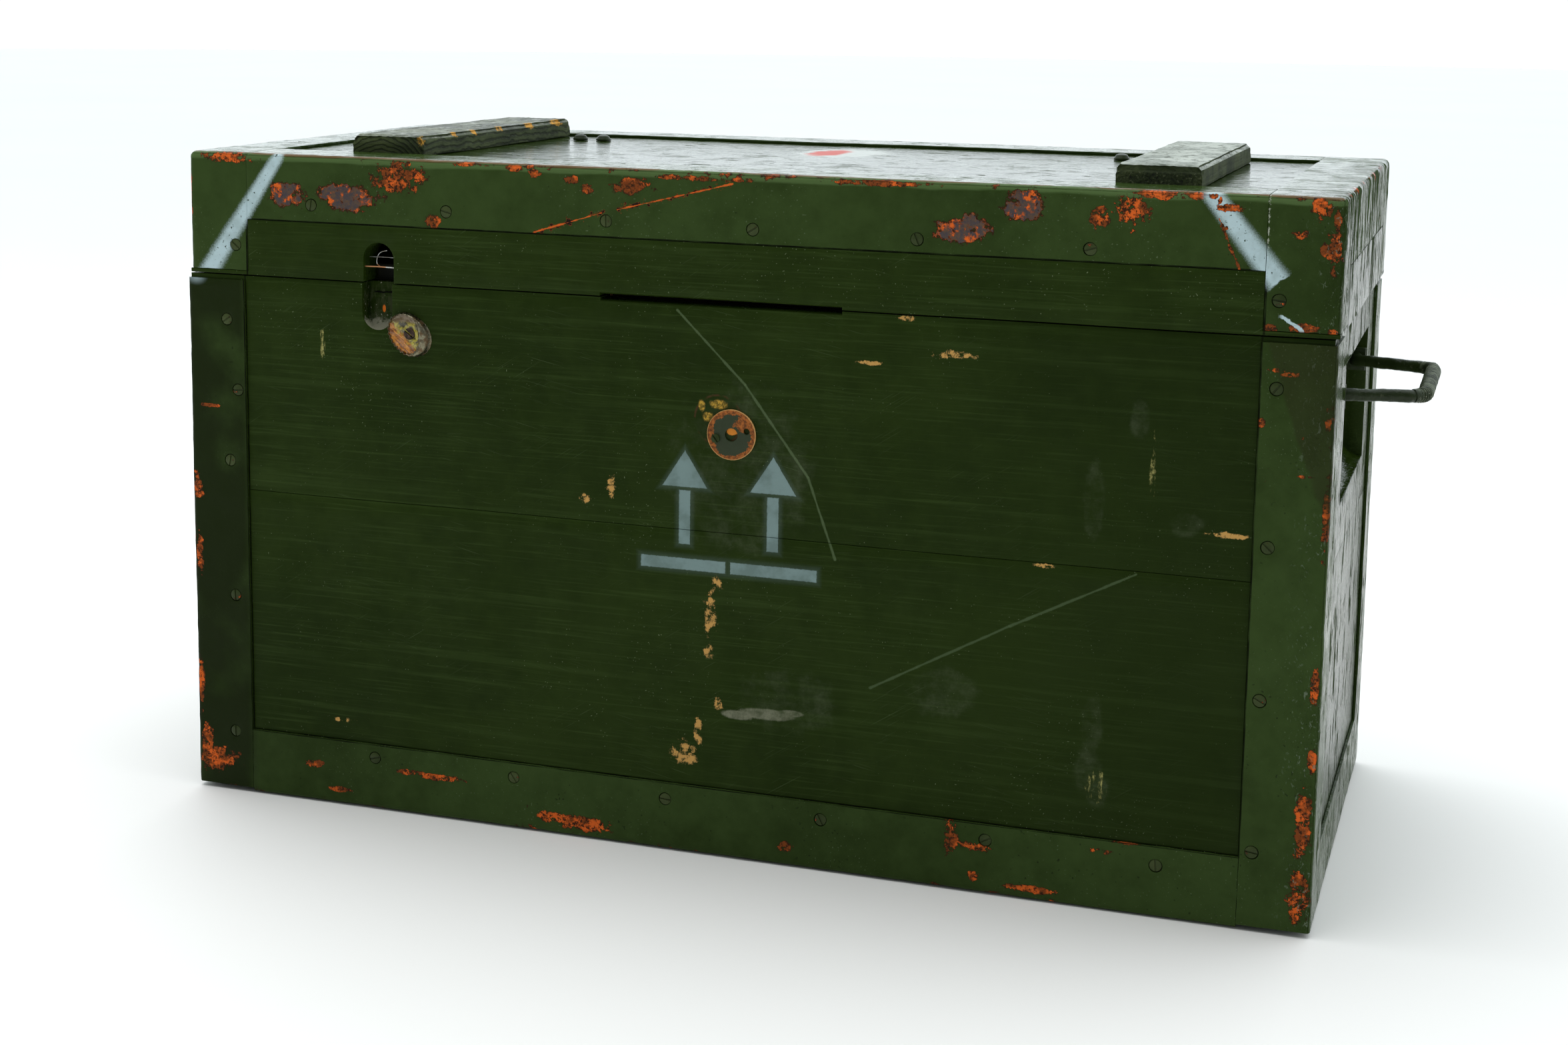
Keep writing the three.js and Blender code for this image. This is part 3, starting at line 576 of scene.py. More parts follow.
def stencil(f):
    """Two plain upward arrows over a bar, with stencil bridges, in thin pale paint."""
    shapes = []
    for centre in ARROW_CENTRES:
        off = f.abs(f.minus(f.x, centre))
        shaft = f.most(
            f.minus(off, ARROW["shaft"]), f.minus(ARROW["foot"], f.z), f.minus(f.z, ARROW["shoulder"] - 2.5),
        )
        slope = ARROW["head"] / (ARROW["tip"] - ARROW["shoulder"])
        narrowing = f.product(f.minus(ARROW["tip"], f.z), slope)
        head = f.most(f.minus(off, narrowing), f.minus(ARROW["shoulder"], f.z))
        shapes += [shaft, head]
    middle, half = (BAR["low"] + BAR["high"]) / 2, (BAR["high"] - BAR["low"]) / 2
    tall = f.minus(f.abs(f.minus(f.z, middle)), half)
    centre, reach = (BAR["left"] + BAR["right"]) / 2, (BAR["right"] - BAR["left"]) / 2
    wide = f.minus(f.abs(f.minus(f.x, centre)), reach)
    bridge = f.minus(BAR["bridge"], f.abs(f.minus(f.x, centre)))
    shapes.append(f.most(tall, wide, bridge))
    outline = f.total(f.least(*shapes), f.fma(f.noise(2.2, 3), 1.1, -0.55))
    thin = f.mix((f.noise(20, 4, 0.6), 0.35, 0.6), 0.62, 0.9)
    on_front = f.ramp(f.y, -WOOD_Y + 6, -WOOD_Y + 3)
    f.lay((128, 150, 148), (outline, 0.35, -0.45), thin, on_front, rough=0.5)
    f.lay((128, 150, 148), (outline, 5, 0, 0, 0.10), on_front)


def seams(f, part):
    """Dark dirt in the joints between boards and steel, seen square on to each face."""
    across, toward, _ = f.parts(f.normal)
    shift, half_x, half_y = SHELL[part]
    level = BOTTOM_STRIP if part == "body" else LID_STRIP_FOOT
    beyond = f.minus(f.z, level) if part == "body" else f.minus(level, f.z)
    outward = f.abs(beyond)
    dirt = f.mix((f.noise(22, 4), 0.3, 0.6), 0.35, 0.95)
    for facing, place, half in ((toward, f.minus(f.x, shift), half_x), (across, f.y, half_y)):
        square = f.ramp(f.abs(facing), 0.5, 0.8)
        inner = f.minus(f.abs(place), half - BODY_STRIP)
        joint = f.most(f.abs(inner), f.product(beyond, -1))
        sill = f.most(outward, inner)
        nearest = f.least(joint, sill)
        f.lay((9, 12, 4), (nearest, 0.95, 0.45), square, dirt, rough=0.8, height=-0.25)


def chest_steel(name, part, patches_at=(), bare_at=(), worn=0.0):
    """Painted steel that rusts from its edges inward."""
    f = Finish(name, GREEN, 0.4, specular=PAINT_SPECULAR)
    paint_coat(f, (38, 53, 18), (54, 72, 33), 0.5, 0.3)
    brushed_lumps(f, 0.75)
    specks(f, 1.5, 0.77, (88, 102, 72), 0.7)
    specks(f, 2.2, 0.8, (16, 22, 8), 0.6)
    edge = edge_distance(f, part)
    near = f.ramp(edge, 9, 0)
    tear = f.noise(30, 8, 0.72)
    generic = f.fma(near, 0.15 + worn, tear)
    wear = f.product(f.minus(generic, 0.72), 4.0)
    spots = f.product(f.minus(f.noise(12, 6, 0.7), 0.73), 5.0)
    wear = f.most(wear, spots)
    if patches_at:
        wear = f.most(wear, patches(f, patches_at, 3.6, 9))
    if part == "lid":
        crest_highlight_and_brown_line(f)
    if part == "body":
        grimy = f.product((f.x, -392, -404), (f.noise(60, 5), 0.2, 0.5), 0.9)
        f.lay((24, 33, 8), grimy)
    rust(f, wear)
    if part == "lid":
        lid_scratches(f)
        joint_chips(f)
    wrinkled = f.product((f.x, 418, 444), (f.noise(40, 3), 0.35, 0.55))
    ripple = f.noise(2.6, 4, 0.65, stretch=(1, 1, 1.6), warp=0.8)
    f.relief(ripple, wrinkled, 1.5)
    # Pale colour on the ripple crests: painted highlights.
    f.lay((112, 124, 104), (ripple, 0.6, 0.65), wrinkled, 0.7, rough=0.2)
    varnished(f, 1.6)
    seams(f, part)
    if part == "body":
        overpaint(f)
    if bare_at:
        rust(f, patches(f, bare_at, 2.4, 10), bare=0.85)
    return f


def overpaint(f):
    """A browner second coat over the right front plate, with a slanting border."""
    toward = f.on_front(BODY_Y)
    border = f.fma(f.z, 0.37, f.fma(f.noise(30, 4), 12, -564))
    kept = f.ramp(f.total(f.x, border), -2.0, 2.0)
    f.lay((42, 46, 22), kept, toward, (f.x, 396, 398), 0.6)
    mist = f.blob((-442, -BODY_Y, 424), (12, 9, 8))
    f.lay(PALE_BLUE, (mist, 1.0, 0.0, 0, 0.55), toward)


def crest_highlight_and_brown_line(f):
    """The lid's rounded front top edge: a lighter band along the bend, painted as a highlight, with a brown line
    along its crest.
    """
    on_front = f.on_front(LID_Y)
    uneven = f.fma(f.noise(26, 4, 0.6, stretch=(3, 1, 1)), 7, f.z)
    # Lighter band along the bend: painted highlight.
    f.lay((84, 106, 62), (uneven, LID_TOP - 2.6, LID_TOP - 0.4), on_front, 0.75)
    f.lay((98, 66, 40), (uneven, LID_TOP + 2.4, LID_TOP + 3.4), on_front, 0.8)


def joint_chips(f):
    """Pale chips down the joint between the front strip and the right cap."""
    on_front = f.on_front(LID_Y)
    off = f.abs(f.minus(f.x, LID_SHIFT + LID_X - BODY_STRIP))
    off = f.total(off, f.fma(f.noise(3.5, 4, 0.7), 9, -4.5))
    f.lay((150, 156, 138), (off, 0.4, 0.0), (f.z, 482, 490), on_front, height=-0.1)


def lid_scratches(f):
    """Two long thin rusty scratches with dark chips along them."""
    on_front = f.on_front(LID_Y)
    for start, end in LID_SCRATCHES:
        reach, _ = f.stroke(start, end)
        chips = f.fma(f.noise(4, 3, 0.6), -20, f.total(reach, 10.2))
        f.lay(RUST, (chips, 0.5, 0.1), on_front, rough=0.7)
        f.lay((34, 24, 18), (chips, 0.0, -0.5), on_front, rough=0.6, height=-0.2)
        line = f.total(reach, f.fma(f.noise(7, 4, 0.65), 3.2, -1.35))
        f.lay(RUST_BRIGHT, (line, 0.9, 0.4), on_front, 0.9, rough=0.8, height=-0.15)


def spray_stripes(f):
    """Soft pale stripes across the lid's two front corners, the right one half painted over."""
    on_front = f.ramp(f.y, -LID_Y + 8, -LID_Y + 2)
    chips = f.ramp(f.noise(3.6, 5, 0.7), 0.6, 0.63)
    over = f.fma(f.noise(14, 5, 0.6), 9, -4.5)
    slant = f.total(f.product(f.x, 0.67), f.product(f.z, -0.74))
    covered = f.ramp(f.total(slant, over), -69.6, -70.8)
    for start, end, wide, spread, kept in (
        ((-367, 521), (-431, 428), 4.6, 2.6, 1.0),
        ((361, 522), (420, 450), 5.8, 2.2, covered),
    ):
        reach, share = f.stroke(start, end)
        half = f.fma(share, spread, wide)
        soft = f.math("DIVIDE", reach, half)
        patchy = f.mix((f.noise(16, 4, 0.6), 0.3, 0.6), 0.8, 1.0)
        mist = f.fma(f.noise(0.9, 1), 0.5, f.total(soft, -0.25))
        mask = f.product((mist, 1.5, 0.45), patchy, on_front, kept)
        f.lay(PALE_BLUE, mask, rough=0.5)
        f.lay(GREEN_DARK, chips, (soft, 1.0, 0.5), on_front, kept)
    arc = f.minus(f.product(f.blob((404, -LID_Y, 412), (29, 29, 29)), 29), 29)
    arc = f.abs(f.total(arc, f.fma(f.noise(5, 4), 5, -2.5)))
    shown = f.product((f.x, 408, 412), (f.x, 433, 431), (f.z, 430, 433), on_front)
    f.lay(PALE_BLUE, (arc, 1.5, 0.9), shown, rough=0.5)
    worn = patches(f, front_patches(LID_Y, *STRIPE_RUST), 3.4, 5)
    rust(f, worn)
    edge_run, _ = f.stroke((366, 506), (381, 472))
    ragged = f.fma(f.noise(4, 4, 0.6), 5, -2.6)
    rust(f, f.fma(on_front, 9, f.minus(-8.3, f.total(edge_run, ragged))))


def simple_paint(name, dark, light, lumps, rusty):
    f = Finish(name, dark, 0.4, specular=0.12)
    paint_coat(f, dark, light, 0.5, 0.3)
    brushed_lumps(f, lumps)
    rust(f, f.product(f.minus(f.noise(8, 5, 0.65), 1 - rusty), 4))
    return f.done()


def dark_iron():
    """Blackened steel with brown rust in its low places."""
    f = Finish("dark_iron", RUST_DARK, 0.5)
    skin = f.noise(9, 6, 0.65)
    f.colour = f.blend((skin, 0.4, 0.65), (38, 36, 33), (84, 56, 38))
    f.metal = f.ramp(skin, 0.6, 0.45, 0.1, 0.8)
    f.roughness = f.ramp(f.noise(5, 4), 0.3, 0.7, 0.4, 0.75)
    f.relief(f.noise(1.6, 5, 0.7), 0.12)
    return f.done()


def raw_wood():
    """Unpainted pine with growth rings and dirt."""
    f = Finish("bare_pine", PINE_LIGHT, 0.65, specular=0.15)
    fibre, rings = grain(f, 0, 0.12, 0.2)
    f.colour = f.blend((rings, 0.36, 0.64), PINE_LIGHT, PINE_DARK)
    f.lay(PINE_DARK, (fibre, 0.5, 0.7), 0.5)
    f.lay((92, 76, 54), (f.noise(130, 5, 0.6), 0.45, 0.75, 0, 0.6))
    return f.done()


# Bare wood along the left batten's edge: place and half sizes along and up.
BARE_SPOTS = ((-6, 12, 8), (60, 5, 4), (96, 5, 4), (146, 7, 4), (206, 9, 5), (262, 12, 6))


def batten_paint(side):
    """Grey-green worn paint on rough wood, with growth rings at the ends and bare spots along an edge."""
    f = Finish(f"batten_paint_{side}", GREEN, 0.5, specular=0.3)
    low, high = extent(f"batten_{side}")
    _, toward, up = f.parts(f.normal)
    top = f.ramp(up, 0.4, 0.8)
    end_face = f.ramp(f.abs(toward), 0.5, 0.8)
    broad = f.noise(34, 5, 0.65)
    side_tone = f.blend((broad, 0.4, 0.62), (40, 50, 22), (66, 76, 40))
    pale = ((44, 52, 32), (88, 94, 70)) if side == "left" else ((100, 108, 94), (152, 158, 146))
    crown = f.blend((broad, 0.4, 0.62), *pale)
    f.colour = f.blend(top, side_tone, crown)
    heart = ((low.x + high.x) / 2 - 6, 0, low.z - 26)
    radius = f.vector("LENGTH", f.vector("MULTIPLY", f.vector("SUBTRACT", f.at, heart), (1, 0.09, 1)))
    rings = f.math("SINE", f.fma(f.noise(12, 3), 9, f.product(radius, 1.9)))
    flank = f.product((up, 0.6, 0.3), 1.0 if side == "left" else 0.25)
    f.lay((18, 25, 9), (rings, -0.1, -0.8), flank, 0.6, height=-0.45)
    f.lay((82, 92, 60), (rings, 0.5, 1.0), flank, 0.3)
    fibre = f.noise(1.6, 5, 0.62, stretch=(1, 40, 1))
    mottle = f.noise(5, 6, 0.68, stretch=(1.6, 2.4, 1))
    f.lay((152, 156, 144), (mottle, 0.54, 0.66), top, 0.6, rough=0.35)
    f.lay((48, 54, 36), (mottle, 0.47, 0.38), top, 0.7, rough=0.7, height=-0.3)
    cracks = f.noise(6, 4, 0.6, stretch=(1.5, 1, 1), warp=0.3)
    f.lay((14, 18, 9), (cracks, 0.70, 0.73), top, rough=0.8, height=-1.2)
    if side == "right":
        grit = f.noise(2.2, 4, 0.72)
        lower = f.product(end_face, (f.z, high.z - 4.5, high.z - 6.5))
        f.lay((112, 118, 88), (grit, 0.54, 0.66), lower, 0.7)
        f.lay((14, 18, 9), (grit, 0.46, 0.38), lower, 0.9)
        f.relief(grit, lower, 1.4)
        pitted = f.product((f.noise(2.6, 4, 0.7), 0.5, 0.6), (up, 0.98, 0.85), top)
        f.lay((150, 156, 146), pitted)
    else:
        places = [((high.x - 2, low.y + y, high.z - 1), (5, long, tall)) for y, long, tall in BARE_SPOTS]
        bare = patches(f, places, 1.6, 5)
        f.lay((92, 84, 40), (bare, 0.0, 0.12))
        f.lay((190, 138, 48), (bare, 0.1, 0.25), rough=0.8, height=-0.2)
    f.roughness = f.most(f.roughness, f.mix(top, 0.85, f.ramp(f.noise(20, 5), 0.4, 0.6, 0.28, 0.5)))
    f.relief(fibre, (top, 1, 0), 0.5)
    return f.done()


def disc_rust():
    """A steel disc whose green paint is left in the middle, with rust round its rim."""
    f = Finish("disc_rust", GREEN, 0.5, specular=0.3)
    low, high = extent("escutcheon_disc")
    centre = tuple((low + high) / 2)
    paint_coat(f, (34, 46, 20), (44, 54, 28), 0.55, 0.4)
    reach = f.product(f.blob(centre, (20, 20, 20)), 20)
    torn = f.fma(f.noise(9, 6, 0.68), 16, -8)
    corner = f.product(f.blob((centre[0] + 10, centre[1], centre[2] + 9), (9, 9, 9)), -6)
    wear = f.total(f.most(f.minus(reach, 15.2), f.total(corner, 5)), torn)
    skin = f.noise(2.4, 6, 0.75)
    brown = f.blend((skin, 0.4, 0.6), (92, 52, 20), (168, 96, 38))
    f.lay(brown, (wear, -0.3, 0.6), rough=0.8)
    f.relief(skin, 0.12)
    f.lay((196, 150, 90), (reach, 18.4, 19.0), rough=0.6)
    return f.done()


def handle_coat():
    """Thick black-green paint in runs over the handle's rod."""
    f = Finish("handle_coat", GREEN_DARK, 0.4, specular=0.2)
    paint_coat(f, (27, 36, 14), (42, 54, 26), 0.45, 0.2)
    f.relief(f.noise(7, 4, 0.6), 1.0)
    f.relief(f.noise(1.8, 3, 0.6), 0.25)
    f.lay((70, 76, 54), (f.noise(5, 5, 0.7), 0.62, 0.7))
    return f.done()


def winding_coat():
    """Grey-green worn paint on the grip's winding."""
    f = Finish("winding_coat", GREEN, 0.5, specular=0.2)
    f.colour = f.blend((f.noise(9, 5, 0.65), 0.4, 0.62), (36, 46, 24), (86, 94, 72))
    f.lay((146, 146, 126), (f.noise(2.2, 4, 0.7), 0.6, 0.68))
    f.relief(f.noise(1.4, 4, 0.65), 0.25)
    return f.done()


def lip_paint():
    """Dark thin paint on the dust lip, rubbed to pale wood along its top edge."""
    f = Finish("lip_paint", GREEN_DARK, 0.6, specular=0.2)
    f.colour = f.blend((f.noise(30, 5), 0.4, 0.6), (18, 20, 11), (34, 36, 22))
    high = extent("front_lip")[1].z
    rubbed = f.fma(f.noise(14, 5, 0.7), 1.6, f.minus(f.z, high + 1.3))
    f.lay((168, 126, 84), (rubbed, -0.6, 0.1, 0, 0.85), rough=0.7)
    f.relief(f.noise(2, 4, stretch=(30, 1, 1)), 0.15)
    return f.done()


def resin():
    """Amber seal resin: orange and fibrous below left, olive round the screw, brown above."""
    f = Finish("resin", (196, 120, 30), 0.12)
    low, high = extent("seal_cup")
    middle = (low + high) / 2
    streak = f.noise(1.5, 4, 0.6, stretch=(7, 2, 1), at=f.turned(-38), warp=0.5)
    fibres = f.blend((streak, 0.36, 0.64), (116, 60, 8), (212, 136, 34))
    lump = f.noise(4, 4, 0.6)
    murk = f.blend((lump, 0.4, 0.6), (54, 46, 10), (170, 156, 44))
    slope = f.total(f.minus(f.x, middle.x - 2), f.minus(f.z, middle.z - 3))
    slope = f.total(slope, f.fma(lump, 16, -8))
    f.colour = f.blend((slope, -3, 3), fibres, murk)
    crust = f.total(f.z, f.fma(lump, 10, -5))
    f.lay((104, 84, 52), (crust, middle.z + 9, middle.z + 12), rough=0.5)
    f.roughness = f.ramp(f.noise(3, 3), 0.3, 0.7, 0.08, 0.3)
    f.relief(streak, 0.6)
    f.relief(lump, 0.8)
    return f.done(**{"Coat Weight": 0.5, "Coat Roughness": 0.06})


def tin():
    """Crumpled thin tinplate, dulled with brown."""
    f = Finish("tin", (170, 170, 160), 0.3)
    stain = f.noise(6, 5, 0.65)
    f.colour = f.blend((stain, 0.42, 0.66), (122, 118, 98), (88, 64, 34))
    f.metal = f.ramp(stain, 0.66, 0.5, 0.35, 1.0)
    f.roughness = f.ramp(f.noise(3, 3), 0.3, 0.7, 0.18, 0.42)
    f.relief(f.noise(2.2, 4, 0.6), 0.35)
    return f.done()


def wire_metal():
    """Seal wire, bright where it is rubbed and brown with rust along the low strand."""
    f = Finish("wire_metal", (190, 192, 190), 0.35)
    f.colour = f.blend((f.noise(4, 3), 0.4, 0.6), (206, 208, 206), (150, 144, 132))
    brown = f.product((f.z, 440.6, 440.2), (f.x, LATCH_X + 8, LATCH_X + 6))
    f.lay((176, 122, 78), brown)
    f.metal = 0.3
    return f.done()


# ---- mesh helpers ------------------------------------------------------------------------
WOBBLE = {"size": 150, "reach": 0.5}
PIN_PLAY, ROD_PLAY = 0.35, 0.25        # how much thinner than in CAD, to clear a bore at every angle


def add_piece(name, mesh, material, body, slot, *replaced):
    """Puts a finished mesh in the scene as a piece that rides on a CAD body."""
    mesh.name = name
    mesh.materials.clear()
    mesh.materials.append(material)
    piece = placed(name, mesh)
    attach(piece, body)
    if replaced:
        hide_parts(*replaced)
    return piece


def body_of(node):
    return NODES[node]["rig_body"]


SLOTS = {name: node.data.materials[0].name for name, node in NODES.items()}


def clean_mesh(node):
    """The CAD node's solid with its flat faces whole again, as a new mesh."""
    work = bmesh.new()
    work.from_mesh(NODES[node].data)
    bmesh.ops.remove_doubles(work, verts=work.verts, dist=1e-6)
    bmesh.ops.dissolve_limit(work, angle_limit=math.radians(1), verts=work.verts, edges=work.edges)
    mesh = bpy.data.meshes.new(node)
    work.verts.index_update()
    points = [v.co.copy() for v in work.verts]
    faces = [[v.index for v in face.verts] for face in work.faces]
    work.free()
    mesh.from_pydata(points, [], faces)
    mesh.update()
    return mesh


def modified(mesh, **modifiers):
    """The mesh after modifiers, each given as TYPE={setting: value}."""
    holder = placed("holder", mesh)
    for kind, settings in modifiers.items():
        made = holder.modifiers.new(kind, kind)
        for name, value in settings.items():
            setattr(made, name, value)
    graph = bpy.context.evaluated_depsgraph_get()
    result = bpy.data.meshes.new_from_object(holder.evaluated_get(graph))
    bpy.data.objects.remove(holder)
    return result


def wobble(point):
    """The hand-made chest's slow unevenness, the same for every piece at a place."""
    return noise.noise_vector(point / (WOBBLE["size"] * MM)) * WOBBLE["reach"] * MM


def stations(low, high, step):
    count = max(1, round((high - low) / step))
    return [low + (high - low) * k / count for k in range(1, count)]


def densified(mesh, steps):
    """Cuts the mesh by planes square to each axis, steps mm apart (one number, or one for each axis)."""
    work = bmesh.new()
    work.from_mesh(mesh)
    points = np.array([v.co for v in work.verts])
    for axis, step in enumerate(steps if isinstance(steps, tuple) else (steps,) * 3):
        if not step:
            continue
        normal = Vector([float(axis == k) for k in range(3)])
        for at in stations(points[:, axis].min(), points[:, axis].max(), step * MM):
            everything = work.verts[:] + work.edges[:] + work.faces[:]
            bmesh.ops.bisect_plane(work, geom=everything, dist=1e-7, plane_co=normal * at, plane_no=normal)
    return work


def lump_at(vert, amount, size):
    """A move in or out along the normal by smooth noise, in mm."""
    return vert.normal * noise.fractal(vert.co / (size * MM), 1.0, 2.0, 3) * amount * MM


def move_all(work, moves):
    for vert, move in zip(work.verts, moves):
        vert.co += move


def worn_copy(node, material, steps, bevel, lump=0.0, lump_size=9.0, cutters=None, shape=None):
    """A CAD node rebuilt with softened edges and lumpy paint, standing for the node."""
    mesh = clean_mesh(node)
    if cutters:
        mesh = modified(mesh, BOOLEAN={"operation": "DIFFERENCE", "solver": "EXACT", "object": cutters})
    mesh = modified(mesh, BEVEL={
        "width": bevel * MM, "segments": 2, "limit_method": "ANGLE", "angle_limit": math.radians(40),
    })
    work = densified(mesh, steps)
    work.normal_update()
    moves = []
    for vert in work.verts:
        move = wobble(vert.co)
        if lump:
            move = move + lump_at(vert, lump, lump_size)
        if shape:
            move = move + shape(vert.co, vert.normal)
        moves.append(move)
    move_all(work, moves)
    bmesh.ops.triangulate(work, faces=[f for f in work.faces if len(f.verts) > 4])
    result = bpy.data.meshes.new(node)
    work.to_mesh(result)
    work.free()
    result.shade_smooth()
    result.set_sharp_from_angle(angle=math.radians(35))
    return add_piece(f"{node}_worn", result, material, body_of(node), SLOTS[node], node)


def circle(count):
    """count angles round a full turn."""
    return [2 * math.pi * k / count for k in range(count)]


def crossways(normal):
    """Two directions square to a normal and to each other: sideways and up."""
    up = Vector((0, 1, 0)) if abs(normal.z) > 0.5 else Vector((0, 0, 1))
    return up.cross(normal), up


class Builder:
    """Collects points, in mm, and faces of one mesh."""

    def __init__(self):
        self.points, self.faces = [], []

    def ring(self, points):
        start = len(self.points)
        self.points += [Vector(p) for p in points]
        return list(range(start, len(self.points)))

    def cap(self, ring):
        self.faces.append(tuple(ring))

    def skin(self, rings, capped=True):
        """Faces between each ring and the next, and over the two ends."""
        for first, second in zip(rings, rings[1:]):
            for k in range(len(first)):
                n = (k + 1) % len(first)
                self.faces.append((first[k], first[n], second[n], second[k]))
        if capped:
            self.cap(rings[0])
            self.cap(rings[-1])

    def mesh(self, sharp=35):
        made = bpy.data.meshes.new("mesh")
        made.from_pydata([p * MM for p in self.points], [], self.faces)
        made.update()
        work = bmesh.new()
        work.from_mesh(made)
        bmesh.ops.recalc_face_normals(work, faces=work.faces)
        work.to_mesh(made)
        work.free()
        made.shade_smooth()
        made.set_sharp_from_angle(angle=math.radians(sharp))
        return made

    def tube(self, path, radius, sides):
        rings = []
        for point, (side, up) in zip(path, transported(path)):
            rings.append(self.ring([point + (side * math.cos(a) + up * math.sin(a)) * radius for a in circle(sides)]))
        self.skin(rings)


def transported(path):
    """A side and an up direction at each point, turning as little as possible along the path."""
    frames = []
    up = Vector((0.3, 0.2, 1)).normalized()
    for k in range(len(path)):
        ahead = (path[min(k + 1, len(path) - 1)] - path[max(k - 1, 0)]).normalized()
        side = ahead.cross(up).normalized()
        up = side.cross(ahead).normalized()
        frames.append((side, up))
    return frames


def rounded_path(corners, bends, step):
    """Points step mm apart along straight runs joined by arcs of the given radii."""
    points = [corners[0]]
    for k in range(1, len(corners) - 1):
        corner, bend = corners[k], bends[k - 1]
        back = (corners[k - 1] - corner).normalized()
        ahead = (corners[k + 1] - corner).normalized()
        half = back.angle(ahead) / 2
        run = bend / math.tan(half)
        first, last = corner + back * run, corner + ahead * run
        centre = corner + (back + ahead).normalized() * (bend / math.sin(half))
        turn = math.pi - 2 * half
        count = max(3, math.ceil(turn * bend / step))
        axis = (first - centre).cross(last - centre).normalized()
        arc = [centre + Matrix.Rotation(turn * n / count, 3, axis) @ (first - centre) for n in range(count + 1)]
        points += spaced(points[-1], first, step)[1:-1] + arc
    return points + spaced(points[-1], corners[-1], step)[1:]


def spaced(start, end, step):
    count = max(1, round((end - start).length / step))
    return [start.lerp(end, k / count) for k in range(count + 1)]


# ---- screws ------------------------------------------------------------------------------
SCREW = {"radius": 4.5, "slot": 1.1, "deep": 1.0, "crown": 0.35, "turn": 9}


def slotted_head(builder, centre, normal, angle, radius, proud):
    """A slotted wood-screw head: two half discs either side of a slot, over a floor."""
    side, up = crossways(normal)
    along = side * math.cos(angle) + up * math.sin(angle)
    across = normal.cross(along)
    half_slot = SCREW["slot"] / 2
    start = math.asin(half_slot / radius)

    def place(u, v, w):
        return centre + along * u + across * v + normal * w

    for hand in (-1, 1):
        rings = []
        for inset, height in ((0, -SCREW["deep"]), (0, proud - SCREW["crown"]), (0.6, proud)):
            r = radius - inset
            angles = [start + (math.pi - 2 * start) * k / SCREW["turn"] for k in range(SCREW["turn"] + 1)]
            edge = half_slot + (0.12 if inset else 0)
            outline = [(r * math.cos(a), max(edge, r * math.sin(a))) for a in angles]
            rings.append(builder.ring([place(u, hand * v, height) for u, v in outline]))
        builder.skin(rings)
    builder.skin([
        builder.ring([place(radius * math.cos(a), radius * math.sin(a), w) for a in circle(20)])
        for w in (-SCREW["deep"] - 0.5, -SCREW["deep"] + 0.25)
    ])


def countersink(builder, centre, normal, deep=4):
    """Adds a cutter for one screw's hole."""
    side, up = crossways(normal)
    wide = SCREW["radius"] + 0.5
    builder.skin([
        builder.ring([centre + side * r * math.cos(a) + up * r * math.sin(a) + normal * w for a in circle(20)])
        for r, w in ((wide, -deep), (wide, -0.3), (SCREW["radius"] + 1.1, 2))
    ])


FRONT, BACK, LEFT, RIGHT = Vector((0, -1, 0)), Vector((0, 1, 0)), Vector((-1, 0, 0)), Vector((1, 0, 0))
# On the front, mirrored on the back: node, the middle's x, the face's distance, and x and z of each screw.
SCREW_ROWS = (
    ("lid_edge_angle_{side}", LID_SHIFT, LID_Y,
     ((-338, 485), (-221, 485), (-88, 484), (28, 483), (152, 482), (278, 481))),
    ("bottom_angle_{side}", 0, BODY_Y, ((-287, 42), (-165, 41), (-37, 40), (88, 40), (215, 41), (340, 39))),
    ("corner_plate_{side}_{hand}", 0, BODY_Y, (
        (-415, 391), (-406, 334), (-414, 276), (-412, 165), (-414, 50), (410, 391), (409, 279), (408, 169), (407, 58),
    )),
    ("lid_corner_cap_{side}_{hand}", LID_SHIFT, LID_Y, ((-406, 451), (409, 452))),
)
END_SCREWS = (391, 279, 168, 57)
END_SCREW_Y, END_STRIP_Y, END_BOTTOM_Y = 166, (-108, 4, 112), (-96, 12, 104)


def screw_places():
    """{steel node: [(centre, outward direction), ...]} for every slotted screw."""
    found = {}

    def put(node, x, y, z, normal):
        found.setdefault(node, []).append((Vector((x, y, z)), normal))

    for side, mirror in (("front", 1), ("back", -1)):
        for node, shift, face, places in SCREW_ROWS:
            for x, z in places:
                hand = "left" if mirror * x < 0 else "right"
                name = node.format(side=side, hand=hand)
                put(name, shift + mirror * (x - shift), -mirror * face, z, FRONT if mirror > 0 else BACK)
    for hand, normal in (("left", LEFT), ("right", RIGHT)):
        body_x, lid_x = normal.x * BODY_X, LID_SHIFT + normal.x * LID_X
        for side, sign in (("front", -1), ("back", 1)):
            for z in END_SCREWS:
                put(f"corner_plate_{side}_{hand}", body_x, sign * END_SCREW_Y, z, normal)
            put(f"lid_corner_cap_{side}_{hand}", lid_x, sign * (END_SCREW_Y - 2), 453, normal)
        for y in END_STRIP_Y:
            put(f"lid_edge_angle_{hand}", lid_x, y, 484, normal)
        for y in END_BOTTOM_Y:
            put(f"bottom_angle_{hand}", body_x, y, 41, normal)
    return found


def steel_with_screws(material_for, screw_material):
    """Every steel corner and edge with countersunk holes, and its screws as one piece."""
    for node, places in screw_places().items():
        builder, heads = Builder(), Builder()
        for facing in (FRONT, BACK, LEFT, RIGHT):
            for place, normal in places:
                if normal == facing:
                    centre = place + wobble(place * MM) / MM
                    countersink(builder, centre, normal)
                    slotted_head(heads, centre, normal, DRAWS.uniform(0, math.pi), SCREW["radius"],
                                 DRAWS.uniform(-0.1, 0.25))
        cutters = placed("cutters", builder.mesh())
        worn_copy(node, material_for(node), 7, bevel=0.5, lump=0.28, lump_size=7, cutters=cutters)
        bpy.data.objects.remove(cutters)
        add_piece(f"screws_{node}", heads.mesh(sharp=50), screw_material, body_of(node), SLOTS[node])


